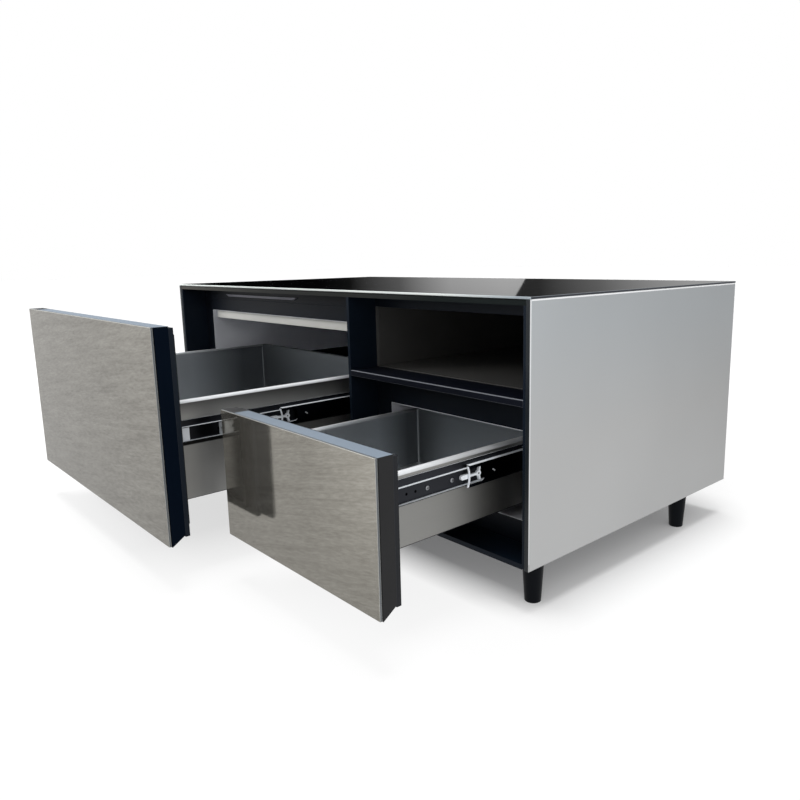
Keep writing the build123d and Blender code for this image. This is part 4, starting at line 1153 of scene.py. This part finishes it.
# Beads behind the left bay: a frame round three ribs, with a profile of (way in, rise)
BEAD_PLACE = (-225.0 * MM, 301.0 * MM)
BEAD_HALF = (372.0 * MM, 186.0 * MM)
BEAD_CORNER = 30.0 * MM
BEAD_PROFILE = [
    (inset * MM, rise * MM)
    for inset, rise in ((0.0, -0.2), (2.0, 0.9), (4.5, 1.6), (7.5, 1.6), (10.0, 0.9), (12.0, -0.2))
]
RIB_HALF = (300.0 * MM, 6.0 * MM)
RIB_PLACES = (-93.0 * MM, 0.0, 93.0 * MM)
RIB_ROUNDNESS = 0.98
CORNER_STEPS = 8


def rounded(half_x, half_y, radius):
    """Points of a rectangle with round corners."""
    points = []
    for corner, (to_x, to_y) in enumerate(((1, 1), (-1, 1), (-1, -1), (1, -1))):
        for step in range(CORNER_STEPS + 1):
            turn = math.pi / 2 * (corner + step / CORNER_STEPS)
            x = to_x * (half_x - radius) + radius * math.cos(turn)
            y = to_y * (half_y - radius) + radius * math.sin(turn)
            points.append((x, y))
    return points


def back_beads():
    """Shallow beads pressed into the sheet of the back to stiffen it: a frame and three ribs."""
    mesh = bmesh.new()
    x, z = BEAD_PLACE
    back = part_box("back_panel")[1].y
    place = Matrix(((1, 0, 0, x), (0, 0, 1, back), (0, 1, 0, z), (0, 0, 0, 1)))
    rings = []
    for inset, rise in BEAD_PROFILE:
        outline = rounded(BEAD_HALF[0] - inset, BEAD_HALF[1] - inset, BEAD_CORNER - inset)
        rings.append((outline, rise))
    add_rings(mesh, place, rings, closed=True)
    for up in RIB_PLACES:
        rings = []
        for inset, rise in BEAD_PROFILE[:3]:
            half = RIB_HALF[1] - inset
            rings.append((rounded(RIB_HALF[0] - inset, half, half * RIB_ROUNDNESS), rise))
        add_rings(mesh, place @ Matrix.Translation((0, up, 0)), rings)
    add_piece("back_panel_beads", mesh, "back_metal", "cabinet")


INLET_PIN = (1.0 * MM, 2.0 * MM)
INLET_PIN_PITCH = 7.0 * MM
INLET_PIN_START = 527.0 * MM
INLET_PIN_END = 540.6 * MM
INLET_PIN_SLEEVE = 0.15 * MM


def inlet_pins():
    """Bright contact sleeves on the three pins of the mains inlet."""
    low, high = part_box("power_inlet")
    centre, level = (low.x + high.x) / 2, (low.z + high.z) / 2
    half_x, half_z = (half + INLET_PIN_SLEEVE for half in INLET_PIN)
    mesh = bmesh.new()
    for step in (-1, 0, 1):
        x = centre + step * INLET_PIN_PITCH
        start = (x - half_x, INLET_PIN_START, level - half_z)
        add_block(mesh, start, (x + half_x, INLET_PIN_END, level + half_z), SMALL_EDGE)
    add_piece("inlet_pin_sleeves", mesh, "screw_steel", "cabinet")


for drawer_side in ("left", "right"):
    slide_screws(drawer_side)
    hole_shades(drawer_side)
    member_stops(drawer_side)
    box_folds(drawer_side)
front_clips()
back_screws()
skin_highlight_lines()
strip_lens()
lamp_ends()
louvre_hoods()
back_beads()
inlet_pins()


# Floor, world and lamps

CARD_Y = 3.0
CARD_LOW = 0.3
CARD_HIGH = 1.1
CARD_ENDS = (-12.0, 4.0)
# Where the left card ends and the right card starts, on their low and on their high edge
SPLIT_LOW = (-1.76, CARD_LOW)
SPLIT_HIGH = (-2.35, CARD_HIGH)
LEFT_GLOW = (
    (-12.0, 0.001),
    (-4.7, 0.001),
    (-4.17, 0.006),
    (-3.42, 0.105),
    (-2.79, 0.37),
    (-2.2, 0.445),
    (-1.7, 0.445),
)
RIGHT_GLOW = (
    (-2.4, 0.018),
    (-1.87, 0.03),
    (-1.36, 0.134),
    (-0.99, 0.28),
    (-0.72, 0.38),
    (0.5, 0.6),
    (4.0, 0.6),
)


# How much of the floor the camera sees washed white: over a stretch of y, and of x
FLOOR_WASH = (-0.19, -0.09)
WASH_SHARE = (0.62, 0.86, -0.1, 0.15)
FLOOR_SIZE = 60.0
FLOOR_COLOR = (0.8, 0.8, 0.8)
FLOOR_GLOW = 0.15
# How bright metal sees the floor: ahead of the table, and beside it over a stretch of y less x
AHEAD_GLOW = 0.64
BESIDE_GLOW = (0.78, 0.62, -0.5, 1.3)
AHEAD_TO_BESIDE = (0.45, 0.75)
WORLD_GLOW = 0.58


def emission(graph, color, strength=1.0):
    """A glow of one colour and strength."""
    return graph.node("ShaderNodeEmission", {"Color": color, "Strength": strength}).outputs[0]


def mixed(graph, factor, first, second):
    """A shader between two others."""
    return graph.node("ShaderNodeMixShader", {0: factor, 1: first, 2: second}).outputs[0]


def glossy_only(obj):
    """Lets a studio object show only in reflections."""
    for ray in ("camera", "diffuse", "shadow", "transmission", "volume_scatter"):
        setattr(obj, f"visible_{ray}", False)


def card(name, corners, stops):
    """A card behind the table that its top reflects, its glow set by stops along x."""
    mesh = bmesh.new()
    mesh.faces.new([mesh.verts.new((x, CARD_Y, z)) for x, z in corners])
    data = bpy.data.meshes.new(name)
    mesh.to_mesh(data)
    mesh.free()
    made = bpy.data.materials.new(name)
    made.use_nodes = True
    graph = Graph(made.node_tree)
    made.node_tree.nodes.clear()
    greys = [(x, (glow, glow, glow)) for x, glow in stops]
    light = emission(graph, graph.ramp(graph.place("X"), greys))
    graph.node("ShaderNodeOutputMaterial", {"Surface": light})
    data.materials.append(made)
    obj = add_object(name, data)
    glossy_only(obj)


def add_light(name, kind, place, power):
    """A light that doesn't show in reflections."""
    holder = add_object(name, bpy.data.lights.new(name, kind))
    holder.data.energy = power
    holder.location = place
    holder.visible_glossy = False
    return holder


def lamp(name, place, aim, size, power):
    """A soft square lamp."""
    holder = add_light(name, "AREA", place, power)
    holder.data.shape = "SQUARE"
    holder.data.size = size
    holder.rotation_euler = (Vector(aim) - Vector(place)).to_track_quat("-Z", "Y").to_euler()


def overhead(power, spread):
    """An even light from straight above, which keeps the shadow close under the table."""
    holder = add_light("overhead", "SUN", (0.0, 0.0, 3.0), power)
    holder.data.angle = math.radians(spread)


def pale_floor():
    """A pale floor, washed with light in front of the table, that metal reflects as soft grey."""
    bpy.ops.mesh.primitive_plane_add(size=FLOOR_SIZE)
    floor = bpy.context.object
    floor.name = "studio_floor"
    made, graph, shader = material("studio_floor", Roughness=0.9, Specular_IOR_Level=0.0)
    graph.feed(shader, Base_Color=FLOOR_COLOR, Emission_Color=WHITE, Emission_Strength=FLOOR_GLOW)
    x, y = graph.place("X"), graph.place("Y")
    paths = graph.node("ShaderNodeLightPath").outputs
    wash = (graph.fall(y, *FLOOR_WASH), graph.spread(x, *WASH_SHARE), paths["Is Camera Ray"])
    seen = mixed(graph, graph.times(*wash), shader.outputs[0], emission(graph, WHITE))
    glow = graph.spread(graph.math("SUBTRACT", y, x), *BESIDE_GLOW)
    glow = graph.blend(graph.rise(x, *AHEAD_TO_BESIDE), AHEAD_GLOW, glow)
    shown = mixed(graph, paths["Is Glossy Ray"], seen, emission(graph, WHITE, glow))
    graph.feed(made.node_tree.nodes["Material Output"], Surface=shown)
    floor.data.materials.append(made)


def white_world():
    """A surround that is white to look at and in mirrors, and weaker as a lamp."""
    world = bpy.data.worlds.new("studio_world")
    world.use_nodes = True
    scene.world = world
    graph = Graph(world.node_tree)
    paths = graph.node("ShaderNodeLightPath").outputs
    seen = graph.math("MAXIMUM", paths["Is Camera Ray"], paths["Is Glossy Ray"])
    seen = graph.math("MAXIMUM", seen, paths["Is Transmission Ray"])
    background = world.node_tree.nodes["Background"]
    graph.feed(background, Color=WHITE, Strength=graph.blend(seen, WORLD_GLOW, 1.0))


def studio():
    """Floor, surround, lamps and the cards that the black top reflects."""
    pale_floor()
    white_world()
    overhead(power=1.7, spread=24.0)
    lamp("key", place=(-2.8, -2.8, 1.7), aim=(0.0, -0.2, 0.1), size=1.8, power=110.0)
    lamp("fill", place=(2.6, -2.4, 2.6), aim=(0.0, 0.0, 0.2), size=2.4, power=20.0)
    left, right = CARD_ENDS
    card("left_card", ((left, CARD_LOW), SPLIT_LOW, SPLIT_HIGH, (left, CARD_HIGH)), LEFT_GLOW)
    card("right_card", (SPLIT_LOW, (right, CARD_LOW), (right, CARD_HIGH), SPLIT_HIGH), RIGHT_GLOW)
    scene.view_settings.view_transform = "Standard"


studio()
